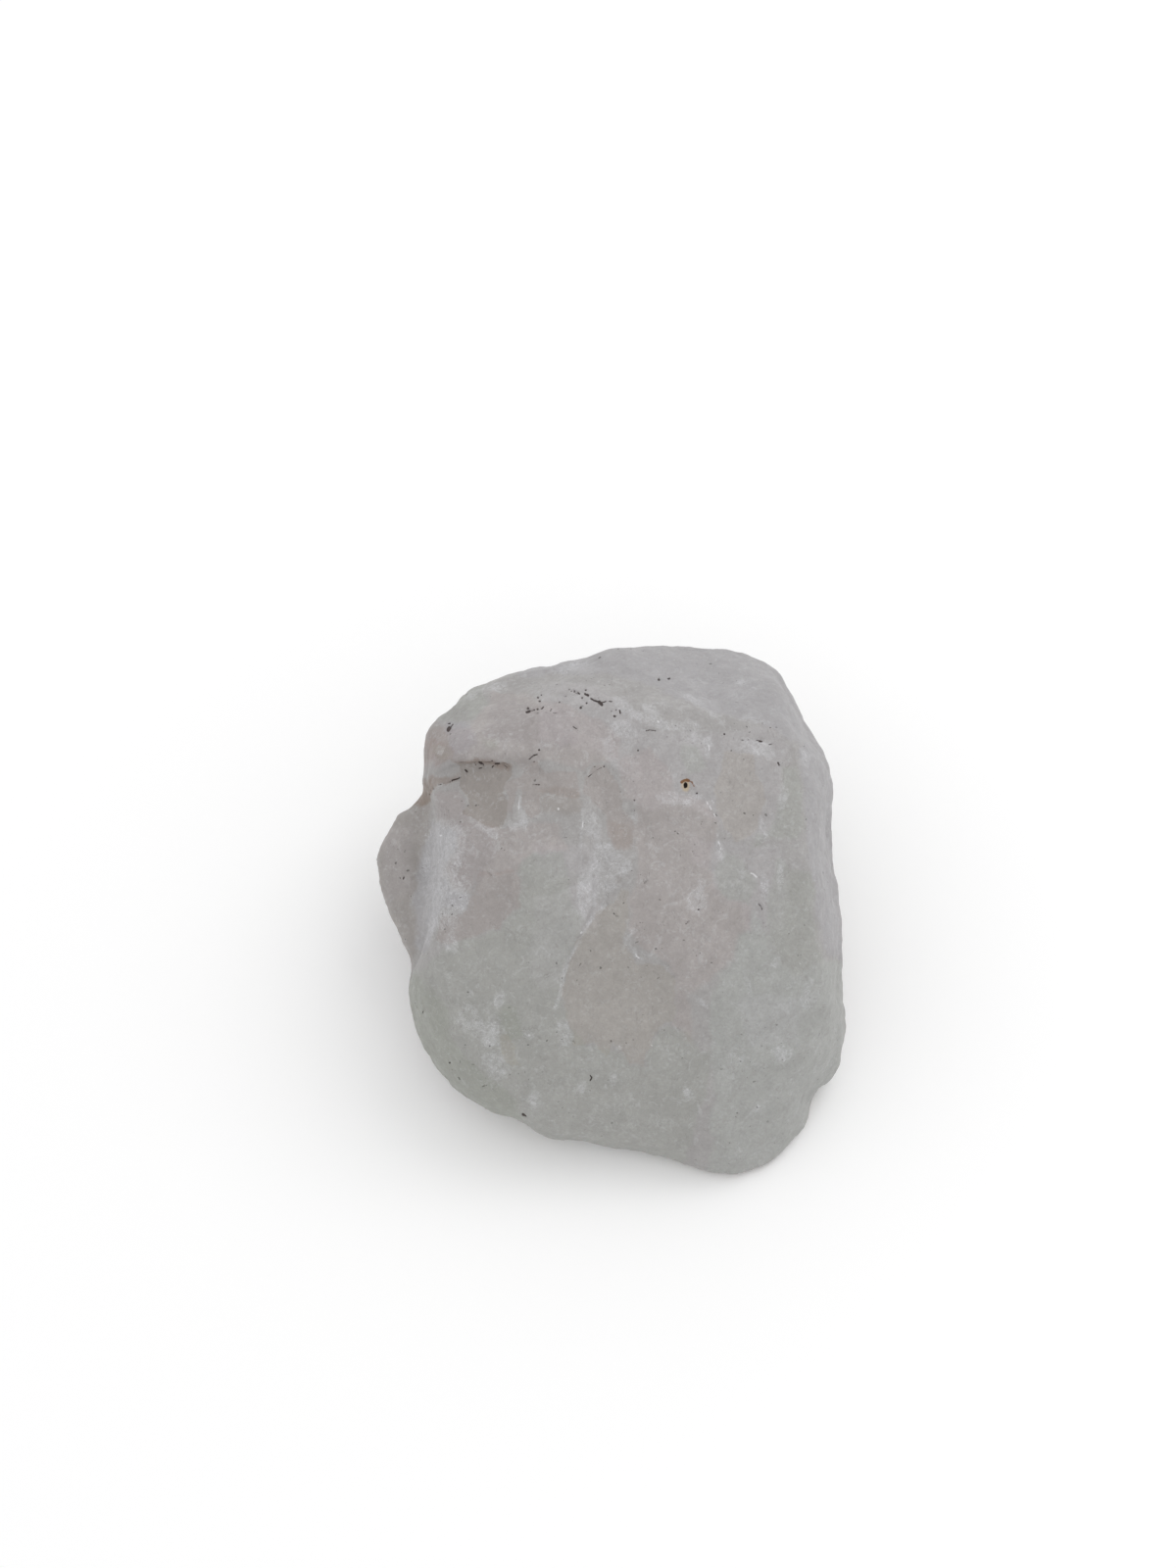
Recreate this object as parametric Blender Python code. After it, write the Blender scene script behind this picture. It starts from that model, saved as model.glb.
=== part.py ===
"""Raw quartz: one rough lump of milky quartz, broken on every side and worn smooth.

The shape is worked out in the seen frame, in millimetres: across (to the right), up and near (towards
the eye), measured from the heart of the stone as it looks from square in front of its broad face.
It is then stood on its flat broken foot, in metres, with +Z up and the eye on the -Y side.
"""

import math

import bmesh
import bpy
import numpy as np
from mathutils import Vector, noise

# Driving dimensions
MM = 0.001
EYE_HEIGHT = math.radians(60)  # how far above the horizon the eye looks down on the broad face
EYE_DISTANCE = 250.0  # from the eye to the heart, in mm
FOOT_DEPTH = 16.4  # from the heart straight down to the flat foot, in mm
FOOT_ROUNDING = 1.6  # how softly the sides turn under into the foot, in mm
FOOT_TRIM = 0.5  # how much is sliced off to make the foot flat, in mm
FINEST_SPHERE = 7  # icosphere subdivisions that the stone is cut from
TRIANGLES = 9200  # what the finished solid is thinned to, before its foot is cut flat

# The outline from the eye, anticlockwise from the top, as (across, up) in mm
TOP_EDGE = [
    (7.5, 27.75), (5.5, 27.8), (1.45, 27.0), (-0.2, 26.95), (-3.8, 25.8), (-7.65, 25.05),
    (-10.8, 24.55), (-13.35, 23.85), (-15.7, 22.7),
]
UPPER_LEFT_KNOB = [
    (-16.7, 21.4), (-18.45, 19.95), (-19.85, 18.4), (-20.0, 16.7), (-19.75, 14.7), (-20.1, 13.1),
]
LEFT_LOBE = [
    (-20.95, 11.25), (-22.65, 9.95), (-24.0, 7.6), (-24.75, 5.6), (-24.6, 4.25), (-24.1, 1.6),
    (-22.95, -1.3), (-21.75, -3.7), (-21.0, -4.95),
]
LOWER_LEFT_EDGE = [
    (-21.3, -6.6), (-21.15, -9.6), (-20.45, -12.25), (-19.6, -14.6), (-17.7, -17.1), (-15.15, -19.25),
    (-13.6, -20.25), (-9.8, -21.55), (-7.95, -22.85), (-3.85, -23.45), (-0.8, -24.25),
]
TOE = [
    (3.65, -24.9), (7.45, -26.2), (9.7, -27.15), (11.65, -27.45), (13.5, -27.2), (16.15, -25.9),
    (18.3, -23.6), (19.45, -21.25), (20.25, -18.4),
]
RIGHT_EDGE = [
    (21.9, -17.05), (23.0, -14.7), (23.25, -11.0), (23.05, -6.55), (23.1, -2.45), (22.4, 3.1),
    (21.85, 6.85), (21.85, 13.55), (21.15, 16.1),
]
UPPER_RIGHT_EDGE = [
    (19.65, 18.75), (18.5, 21.05), (17.4, 23.25), (15.95, 25.15), (13.35, 26.6), (10.45, 27.4),
]

# Where the front block ends, in front of the left lobe
BLOCK_LEFT_EDGE = [(-19.0, 11.0), (-19.4, 8.0), (-20.0, 5.0), (-20.3, 2.0), (-20.4, -1.5), (-20.5, -4.2)]

WHOLE_OUTLINE = (
    TOP_EDGE + UPPER_LEFT_KNOB + LEFT_LOBE + LOWER_LEFT_EDGE + TOE + RIGHT_EDGE + UPPER_RIGHT_EDGE
)
BLOCK_OUTLINE = (
    TOP_EDGE + UPPER_LEFT_KNOB + BLOCK_LEFT_EDGE + LOWER_LEFT_EDGE + TOE + RIGHT_EDGE
    + UPPER_RIGHT_EDGE
)

# How near the outline lies, as (degrees anticlockwise from the right, near in mm)
RIM_DEPTH = [
    (0, -4), (35, -7), (60, -11), (90, -9), (120, -5), (145, -3), (165, -7), (190, -6),
    (215, -2), (245, -1), (275, -2), (300, -4), (325, -5),
]
# How fast the wall draws in as it leaves the rim, in mm for each square mm of depth
DRAW_IN_NEAR = 0.011
DRAW_IN_FAR = 0.020
RIM_KEPT = (0.4, 2.8)  # how far from the rim and the foot the relief starts and is full, in mm

# Broken faces, as (direction that the face looks in, distance from the heart, rounding), in mm
NEAR_FACES = {
    "broad_face_left": ((-0.17, -0.04, 0.985), 9.3, 3.0),
    "broad_face_right": ((0.13, -0.03, 0.99), 9.4, 2.5),
    "broad_face_upper": ((0.02, 0.25, 0.97), 9.5, 2.5),
    "broad_face_foot": ((0.04, -0.42, 0.91), 11.4, 4.0),
    "top_shelf_right": ((0.12, 0.84, 0.53), 20.0, 1.4),
    "top_shelf_left": ((-0.26, 0.80, 0.54), 20.2, 1.8),
    "knob_side": ((-0.80, 0.30, 0.52), 20.6, 2.5),
    "lower_left_side": ((-0.62, -0.50, 0.60), 20.2, 3.0),
    "lower_right_side": ((0.64, -0.42, 0.64), 20.9, 3.5),
    "right_bevel": ((0.865, 0.096, 0.49), 20.7, 1.2),
}
FAR_FACES = {
    "back_upper": ((0.05, 0.25, -0.97), 20.2, 1.5),
    "back_left": ((-0.60, 0.16, -0.78), 24.6, 1.6),
    "back_right": ((0.62, -0.05, -0.78), 23.0, 1.4),
    "back_lower": ((-0.12, -0.22, -0.97), 19.0, 2.0),
    "back_crown": ((-0.10, 0.75, -0.65), 27.6, 1.8),
    "back_corner": ((0.50, 0.50, -0.71), 29.4, 1.6),
}
LOBE_SHOULDER = ((-0.42, 0.08, 0.90), 5.6)  # the face of the left lobe, set back from the block
SHOULDER_ROUNDING = 2.0  # of the valley between the block and the lobe, in mm
VALLEY_START = (0.0, 1.5)  # how far the lobe stands out where the valley starts and is fully rounded
LEAST_ROUNDING = 0.01  # where there is no valley, in mm

# Ledges of the break, as paths of (across, up) on the face that they cross. The stone is lower on the
# left of the path as it is walked.
BROAD, BACK, SHELF, LEFT, RIGHT = "broad", "back", "shelf", "left", "right"
LEDGES = [
    # face, path, drop, how far the low side takes to climb back
    (BROAD, [(-20.0, 12.9), (-16.5, 14.8), (-11.5, 15.1), (-6.5, 15.2)], -1.9, 7.0),
    (BROAD, [(-3.2, 14.2), (-2.4, 11.0), (-1.9, 7.5), (-2.0, 3.0), (-3.2, -1.5), (-4.9, -6.0),
             (-5.6, -10.0)], 0.9, 8.0),
    (BROAD, [(-3.0, 14.0), (-0.8, 14.8), (1.4, 13.2), (2.6, 9.5), (3.2, 6.0)], -0.35, 4.0),
    (SHELF, [(-17.0, 4.0), (-9.0, 6.0), (-2.5, 3.6), (3.0, -1.0)], -0.35, 6.0),
    (BACK, [(-16.0, 9.0), (-8.0, 12.0), (1.0, 9.5), (8.0, 3.0), (10.0, -5.0)], -1.6, 8.0),
    (BACK, [(-15.0, -2.0), (-7.0, -1.0), (-1.0, -5.0), (2.0, -12.0)], -1.1, 6.0),
    (LEFT, [(-9.0, -9.0), (-2.0, -6.0), (3.0, 0.0), (5.0, 8.0)], 1.0, 6.0),
    (RIGHT, [(3.0, 12.0), (6.0, 7.0), (9.0, 0.0), (10.0, -8.0)], -0.8, 5.0),
]
LEDGE_RISER, LEDGE_SLANT = 0.5, 0.6  # a riser's width is the first, plus the second times its drop

# Shell-shaped scars, as (face, centre across, centre up, radius, depth, crispness of the rim), in mm
SCARS = [
    (BROAD, 0.8, -9.0, 8.0, 0.80, 0.2),
    (BROAD, 1.8, 8.6, 3.2, 0.60, 0.3),
    (BROAD, -14.6, 11.2, 5.2, 1.0, 0.0),
    (BROAD, 11.5, -1.0, 6.5, 0.30, 0.1),
    (BROAD, -11.5, -2.0, 6.0, 0.40, 0.0),
    (BROAD, 10.0, 12.0, 4.0, 0.30, 0.2),
    (BROAD, 12.5, -16.0, 6.0, 0.35, 0.0),
    (BROAD, -10.5, -14.5, 5.0, 0.30, 0.0),
    (SHELF, 9.0, 1.5, 8.0, 0.50, 0.0),
    (SHELF, -9.0, 0.0, 5.5, 0.45, 0.2),
    (BACK, 6.0, 12.0, 8.5, 1.5, 0.9),
    (BACK, -8.5, 4.0, 7.0, 1.1, 0.9),
    (BACK, 7.0, -7.0, 7.0, 1.2, 0.8),
    (BACK, -4.0, -12.0, 6.0, 1.0, 0.7),
    (LEFT, -5.0, 4.0, 6.0, 0.8, 0.6),
    (LEFT, 7.0, -8.0, 6.0, 0.9, 0.8),
    (RIGHT, 8.0, 6.0, 6.0, 0.9, 0.6),
    (RIGHT, 7.0, -4.0, 5.5, 0.7, 0.7),
    (RIGHT, 9.0, -13.0, 5.0, 0.7, 0.6),
]
# Each face that ledges and scars are laid out on: what counts as across, up and outward there
UP_SHELF = math.radians(58)
LAYOUTS = {
    BROAD: ((1, 0, 0), (0, 1, 0), (0, 0, 1)),
    BACK: ((-1, 0, 0), (0, 1, 0), (0, 0, -1)),
    LEFT: ((0, 0, 1), (0, 1, 0), (-1, 0, 0)),
    RIGHT: ((0, 0, -1), (0, 1, 0), (1, 0, 0)),
    SHELF: (
        (1, 0, 0),
        (0, math.cos(UP_SHELF), -math.sin(UP_SHELF)),
        (0, math.sin(UP_SHELF), math.cos(UP_SHELF)),
    ),
}
SHELF_MIDDLE = (0.0, 22.0, -3.5)  # where the shelf's own layout has its zero
FACING_START, FACING_FULL = 0.35, 0.62  # how squarely a spot looks out of a face to carry its relief

# Lumps and hollows of the worn surface, as (size, height) in mm
LUMPS = [(11.0, 0.55), (5.0, 0.28), (2.4, 0.12)]
# Scallops where small shells broke away, as (size, depth) in mm
SCALLOPS = [(6.5, 0.50), (3.4, 0.22)]
NEAR_SMOOTHNESS = 0.45  # share of the scallops that is left on the worn broad face

QUARTZ_COLOUR = (0.38, 0.37, 0.36, 1.0)  # linear
QUARTZ_ROUGHNESS = 0.5
SCATTER_DEPTH = 0.004  # how far light wanders in the milky stone, in m
NAME = "quartz_crystal"
NOISE_SEED = 5


def clear_scene():
    """Removes whatever the scene holds."""
    for thing in list(bpy.data.objects):
        bpy.data.objects.remove(thing, do_unlink=True)


def smooth_max(a, b, rounding):
    """The larger of a and b, with the corner between them rounded off."""
    share = np.clip(0.5 + 0.5 * (b - a) / rounding, 0, 1)
    return a * (1 - share) + b * share + rounding * share * (1 - share)


def smooth_min(a, b, rounding):
    """The smaller of a and b, with the corner between them filled."""
    return -smooth_max(-a, -b, rounding)


def fade(value, start, full):
    """0 below start and 1 above full, with a smooth climb between them."""
    share = np.clip((value - start) / (full - start), 0, 1)
    return share * share * (3 - 2 * share)


def round_the_clock(angle, knots):
    """A smooth closed curve through knots of (angle, value), read at angle, all in radians."""
    knots = sorted(knots)
    at = np.array([k[0] for k in knots])
    value = np.array([k[1] for k in knots])
    at = np.concatenate([at[-2:] - 2 * math.pi, at, at[:2] + 2 * math.pi])
    value = np.concatenate([value[-2:], value, value[:2]])
    slope = np.gradient(value, at)
    angle = np.mod(angle - at[1], 2 * math.pi) + at[1]
    i = np.clip(np.searchsorted(at, angle, side="right") - 1, 0, len(at) - 2)
    width = at[i + 1] - at[i]
    t = (angle - at[i]) / width
    return (
        (2 * t**3 - 3 * t**2 + 1) * value[i]
        + (t**3 - 2 * t**2 + t) * width * slope[i]
        + (3 * t**2 - 2 * t**3) * value[i + 1]
        + (t**3 - t**2) * width * slope[i + 1]
    )


def polar(outline):
    """An outline's points as (angle, radius)."""
    return [(math.atan2(up, across), math.hypot(across, up)) for across, up in outline]


WHOLE_POLAR = polar(WHOLE_OUTLINE)
BLOCK_POLAR = polar(BLOCK_OUTLINE)
RIM_POLAR = [(math.radians(angle), depth) for angle, depth in RIM_DEPTH]


def beyond_face(points, face):
    """How far points lie outside a flat face of (direction, distance)."""
    direction = np.array(face[0])
    return points @ (direction / np.linalg.norm(direction)) - face[1]


def nearer_than_rim(points):
    """How much nearer to the eye than the stone's outline each point lies."""
    across, up, near = points.T
    return near - round_the_clock(np.arctan2(up, across), RIM_POLAR)


def beyond_wall(points, outline_polar):
    """How far points lie outside the wall that gives the stone its outline from the eye."""
    across, up, near = points.T
    magnified = EYE_DISTANCE / (EYE_DISTANCE - near)
    from_rim = nearer_than_rim(points)
    draw_in = np.where(from_rim > 0, DRAW_IN_NEAR, DRAW_IN_FAR) * from_rim**2
    outline = round_the_clock(np.arctan2(up, across), outline_polar)
    return np.hypot(across, up) * magnified + draw_in - outline


def below_foot(points):
    """How far points lie below the flat foot."""
    straight_down = (0.0, -math.cos(EYE_HEIGHT), -math.sin(EYE_HEIGHT))
    return beyond_face(points, (straight_down, FOOT_DEPTH))


def beyond_stone(points):
    """How far points lie outside the stone, before its relief. Negative is inside."""
    block = beyond_wall(points, BLOCK_POLAR)
    whole = beyond_wall(points, WHOLE_POLAR)
    lobe = smooth_max(whole, beyond_face(points, LOBE_SHOULDER), SHOULDER_ROUNDING)
    rounding = SHOULDER_ROUNDING * fade(block - whole, *VALLEY_START)
    outside = smooth_min(block, lobe, np.maximum(rounding, LEAST_ROUNDING))
    for direction, distance, rounding in [*NEAR_FACES.values(), *FAR_FACES.values()]:
        outside = smooth_max(outside, beyond_face(points, (direction, distance)), rounding)
    return smooth_max(outside, below_foot(points) - FOOT_TRIM, FOOT_ROUNDING)


def reach(directions):
    """How far the stone's surface is from its heart in each direction, in mm."""
    inside = np.full(len(directions), 3.0)
    outside = np.full(len(directions), 60.0)
    for _ in range(36):
        middle = (inside + outside) / 2
        beyond = beyond_stone(directions * middle[:, None]) > 0
        outside = np.where(beyond, middle, outside)
        inside = np.where(beyond, inside, middle)
    return (inside + outside) / 2


def outward(points):
    """The direction in which the surface looks at each point."""
    step = 0.05
    slopes = [
        beyond_stone(points + step * axis) - beyond_stone(points - step * axis) for axis in np.eye(3)
    ]
    slopes = np.stack(slopes, axis=1)
    return slopes / np.linalg.norm(slopes, axis=1, keepdims=True)


def laid_out(points, normals, face):
    """(across, up, share) of points on a face's own layout. share is 0 where they look elsewhere."""
    across_axis, up_axis, out_axis = (np.array(axis, float) for axis in LAYOUTS[face])
    middle = np.array(SHELF_MIDDLE if face == SHELF else (0.0, 0.0, 0.0))
    local = points - middle
    return local @ across_axis, local @ up_axis, fade(normals @ out_axis, FACING_START, FACING_FULL)


def beside_path(across, up, path):
    """(distance to the left of the path, share of the way to its end) for each point."""
    path = np.array(path, float)
    chord = path[-1] - path[0]
    along = ((across - path[0][0]) * chord[0] + (up - path[0][1]) * chord[1]) / (chord @ chord)
    nearest = np.full(len(across), 1e9)
    side = np.zeros(len(across))
    for start, end in zip(path[:-1], path[1:]):
        length = np.linalg.norm(end - start)
        run = (end - start) / length
        du, dv = across - start[0], up - start[1]
        held = np.clip(du * run[0] + dv * run[1], 0, length)
        distance = np.hypot(du - held * run[0], dv - held * run[1])
        closer = distance < nearest
        nearest = np.where(closer, distance, nearest)
        side = np.where(closer, np.sign(run[0] * dv - run[1] * du), side)
    return nearest * side, along


def ledge_depth(across, up, path, drop, climb):
    """How much a ledge takes off the stone: all of its drop at the riser, and less away from it."""
    low_side = 1 if drop > 0 else -1
    sideways, along = beside_path(across, up, path)
    sideways = sideways * low_side
    ends = fade(along, -0.05, 0.22) * fade(1 - along, -0.05, 0.22)
    half_riser = (LEDGE_RISER + LEDGE_SLANT * abs(drop)) / 2
    riser = fade(sideways, -half_riser, half_riser)
    return abs(drop) * riser * np.exp(-np.clip(sideways, 0, None) / climb * 1.6) * ends


def scar_depth(across, up, middle_across, middle_up, radius, depth, crispness):
    """How much a shell-shaped scar takes off the stone, with two faint ripples inside its rim."""
    distance = np.hypot(across - middle_across, up - middle_up) / radius
    bowl = np.clip(1 - distance**2, 0, None)
    bowl = crispness * bowl + (1 - crispness) * bowl**2
    ripples = 0.06 * np.sin(distance * 5 * math.pi) * fade(distance, 0.2, 0.6) * (distance < 1)
    return depth * (bowl + crispness * ripples)


def lumps(points):
    """Height of the soft lumps and hollows at each point, in mm."""
    height = np.zeros(len(points))
    for n, (size, tall) in enumerate(LUMPS):
        shift = Vector((17.0 * n, 5.0, 9.0 * n))
        height += [tall * noise.noise(Vector(p) / size + shift) for p in points]
    return height


def scallops(points):
    """Depth of the small shell-shaped scallops at each point, in mm."""
    depth = np.zeros(len(points))
    for n, (size, deep) in enumerate(SCALLOPS):
        shift = Vector((3.0, 11.0 * n, 7.0))
        for i, p in enumerate(points):
            place = Vector(p) / size + shift
            place += 0.35 * noise.noise_vector(place * 0.8)
            nearest = noise.voronoi(place)[0][0]
            depth[i] += deep * max(0.0, 1 - (nearest / 0.75) ** 2)
    return depth


def relief(points, normals):
    """How much the ledges, scars, scallops and lumps take off the stone at each point, in mm."""
    taken = np.zeros(len(points))
    for face, path, drop, climb in LEDGES:
        across, up, share = laid_out(points, normals, face)
        taken += share * ledge_depth(across, up, path, drop, climb)
    for face, *scar in SCARS:
        across, up, share = laid_out(points, normals, face)
        taken += share * scar_depth(across, up, *scar)
    worn = 1 - (1 - NEAR_SMOOTHNESS) * fade(normals[:, 2], 0.2, 0.8)
    return taken + worn * scallops(points) - lumps(points)


def stone_points(directions):
    """The surface of the stone in each direction from the heart, in the seen frame, in mm."""
    points = directions * reach(directions)[:, None]
    normals = outward(points)
    kept = fade(np.abs(nearer_than_rim(points)), *RIM_KEPT) * fade(-below_foot(points), *RIM_KEPT)
    return points - normals * (relief(points, normals) * kept)[:, None]


def stood_up(points):
    """Points of the seen frame in mm, turned so that +Z is up and -Y faces the eye, in m."""
    sine, cosine = math.sin(EYE_HEIGHT), math.cos(EYE_HEIGHT)
    across, up, near = points.T
    return MM * np.stack([across, up * sine - near * cosine, up * cosine + near * sine], axis=1)


def quartz_material():
    """Milky quartz: pale grey, waxy and faintly translucent."""
    material = bpy.data.materials.new("milky_quartz")
    material.use_nodes = True
    shader = material.node_tree.nodes["Principled BSDF"]
    shader.inputs["Base Color"].default_value = QUARTZ_COLOUR
    shader.inputs["Roughness"].default_value = QUARTZ_ROUGHNESS
    shader.inputs["Metallic"].default_value = 0.0
    shader.inputs["Subsurface Weight"].default_value = 1.0
    shader.inputs["Subsurface Radius"].default_value = (1.0, 0.95, 0.9)
    shader.inputs["Subsurface Scale"].default_value = SCATTER_DEPTH
    shader.inputs["IOR"].default_value = 1.54
    return material


def full_stone():
    """The stone as a fine mesh, standing, before it is thinned and its foot is cut."""
    shape = bmesh.new()
    bmesh.ops.create_icosphere(shape, subdivisions=FINEST_SPHERE, radius=1.0)
    directions = np.array([v.co.normalized() for v in shape.verts])
    for vertex, place in zip(shape.verts, stood_up(stone_points(directions))):
        vertex.co = place
    mesh = bpy.data.meshes.new(NAME)
    shape.to_mesh(mesh)
    shape.free()
    return mesh


def thinned(mesh):
    """The mesh with its triangles kept where the stone turns and merged where it is flat."""
    helper = bpy.data.objects.new("full_stone", mesh)
    bpy.context.scene.collection.objects.link(helper)
    thin = helper.modifiers.new("thin", "DECIMATE")
    thin.ratio = TRIANGLES / len(mesh.polygons)
    thin.use_collapse_triangulate = True
    graph = bpy.context.evaluated_depsgraph_get()
    result = bpy.data.meshes.new_from_object(helper.evaluated_get(graph))
    bpy.data.objects.remove(helper, do_unlink=True)
    return result


def cut_foot(mesh):
    """Cuts the stone off flat where it stands, and closes the cut with one face."""
    shape = bmesh.new()
    shape.from_mesh(mesh)
    everything = shape.verts[:] + shape.edges[:] + shape.faces[:]
    cut = bmesh.ops.bisect_plane(
        shape,
        geom=everything,
        dist=0.02 * MM,
        plane_co=(0, 0, -FOOT_DEPTH * MM),
        plane_no=(0, 0, -1),
        clear_outer=True,
    )
    edges = [e for e in cut["geom_cut"] if isinstance(e, bmesh.types.BMEdge) and e.is_boundary]
    bmesh.ops.contextual_create(shape, geom=edges)
    bmesh.ops.recalc_face_normals(shape, faces=shape.faces)
    shape.to_mesh(mesh)
    shape.free()


def centre_on_foot(mesh):
    """Moves the mesh so that the origin is under the middle of its box, on the foot."""
    corners = np.array([v.co for v in mesh.vertices])
    low, high = corners.min(axis=0), corners.max(axis=0)
    heart = -np.array([(low[0] + high[0]) / 2, (low[1] + high[1]) / 2, low[2]])
    for vertex in mesh.vertices:
        vertex.co = Vector(vertex.co) + Vector(heart)
    print("heart of the stone at", [round(float(x), 5) for x in heart], "m")


def build_stone():
    """Makes the one solid of the stone."""
    mesh = thinned(full_stone())
    cut_foot(mesh)
    centre_on_foot(mesh)
    mesh.name = NAME
    mesh.shade_smooth()
    mesh.set_sharp_from_angle(angle=math.radians(60))
    mesh.materials.append(quartz_material())
    stone = bpy.data.objects.new(NAME, mesh)
    bpy.context.scene.collection.objects.link(stone)
    return stone


clear_scene()
noise.seed_set(NOISE_SEED)
build_stone()
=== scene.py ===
import math

import bmesh
import bpy
import numpy as np
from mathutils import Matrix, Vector, noise


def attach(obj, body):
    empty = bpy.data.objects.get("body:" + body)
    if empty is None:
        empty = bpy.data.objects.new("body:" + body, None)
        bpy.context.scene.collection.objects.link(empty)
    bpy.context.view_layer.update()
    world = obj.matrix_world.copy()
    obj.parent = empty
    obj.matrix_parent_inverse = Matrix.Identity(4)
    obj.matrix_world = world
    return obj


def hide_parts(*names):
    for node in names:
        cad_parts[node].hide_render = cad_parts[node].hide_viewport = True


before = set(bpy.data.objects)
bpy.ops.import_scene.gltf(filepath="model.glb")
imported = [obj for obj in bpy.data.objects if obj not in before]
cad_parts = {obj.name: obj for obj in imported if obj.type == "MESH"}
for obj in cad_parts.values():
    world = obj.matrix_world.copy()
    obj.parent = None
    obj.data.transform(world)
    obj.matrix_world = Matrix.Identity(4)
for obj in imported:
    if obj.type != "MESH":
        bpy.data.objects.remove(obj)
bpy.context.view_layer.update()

# The quartz
# One lump of massive milky quartz, a piece of vein that grew in one go and was broken out on every side.
# It has no crystal faces: its breaks are shell-shaped, worn smooth and waxy. Cloudy veils, healed cracks,
# a little iron rust and black specks of another mineral show in and on the milky stone.

# Places on the stone are given as seen square to its broad face: (across, up) in mm from its heart.
EYE_HEIGHT = math.radians(60)  # above the horizon
EYE_DISTANCE = 250.0  # from the heart, in mm
HEART = (0.00086, -0.00371, 0.01642)  # the middle of the broad face, in m
MM_PER_M = 1000


def seen(points):
    """Points of the frame, in m, as (across, up, near) to the broad face, in mm from the heart."""
    sine, cosine = math.sin(EYE_HEIGHT), math.cos(EYE_HEIGHT)
    x, y, z = MM_PER_M * (points - np.array(HEART)).T
    return np.stack([x, y * sine + z * cosine, z * sine - y * cosine], axis=1)


def face_on(points):
    """(across, up) of points as they appear from the eye, which sees near ones a little larger."""
    near = points[:, 2]
    return points[:, :2] * (EYE_DISTANCE / (EYE_DISTANCE - near))[:, None]


def squareness(normals):
    """How squarely each spot looks at the eye: 1 straight at it, 0 along the stone's outline."""
    sine, cosine = math.sin(EYE_HEIGHT), math.cos(EYE_HEIGHT)
    return normals[:, 2] * sine - normals[:, 1] * cosine


def fade(value, start, full):
    """0 at start and 1 at full, with a smooth climb between them."""
    share = np.clip((value - start) / (full - start), 0, 1)
    return share * share * (3 - 2 * share)


def rolling(points, size, seed):
    """Soft noise between about -1 and 1 at points in mm."""
    shift = Vector((7.3 * seed, 3.1, 5.7 * seed))
    return np.array([noise.noise(Vector(p) / size + shift) for p in points])


def shells(points, size, seed, hollow=0.8):
    """Overlapping shell-shaped breaks: 0 on the ridges between them and up to 1 in their hollows."""
    shift = Vector((2.9 * seed, 8.1, 4.3 * seed))
    nearest = np.array([noise.voronoi(Vector(p) / size + shift)[0][0] for p in points])
    return np.clip(1 - (nearest / hollow) ** 2, 0, 1)


def beside(place, path):
    """(distance to the path, distance along it, signed side) for face-on places, all in mm."""
    path = np.array(path if len(path) > 1 else [path[0], (path[0][0] + 0.01, path[0][1])], float)
    nearest = np.full(len(place), 1e9)
    along = np.zeros(len(place))
    side = np.zeros(len(place))
    walked = 0.0
    for start, end in zip(path[:-1], path[1:]):
        length = np.linalg.norm(end - start)
        run = (end - start) / length
        off = place - start
        t = np.clip(off @ run, 0, length)
        distance = np.linalg.norm(off - t[:, None] * run, axis=1)
        closer = distance < nearest
        nearest = np.where(closer, distance, nearest)
        along = np.where(closer, walked + t, along)
        side = np.where(closer, np.sign(run[0] * off[:, 1] - run[1] * off[:, 0]), side)
        walked += length
    return nearest, along, side * nearest


def around(place, path, reach):
    """Which of the face-on places lie in the box round the path, widened by reach on every side."""
    low, high = np.min(path, axis=0) - reach, np.max(path, axis=0) + reach
    return np.all((place > low) & (place < high), axis=1)


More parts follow.
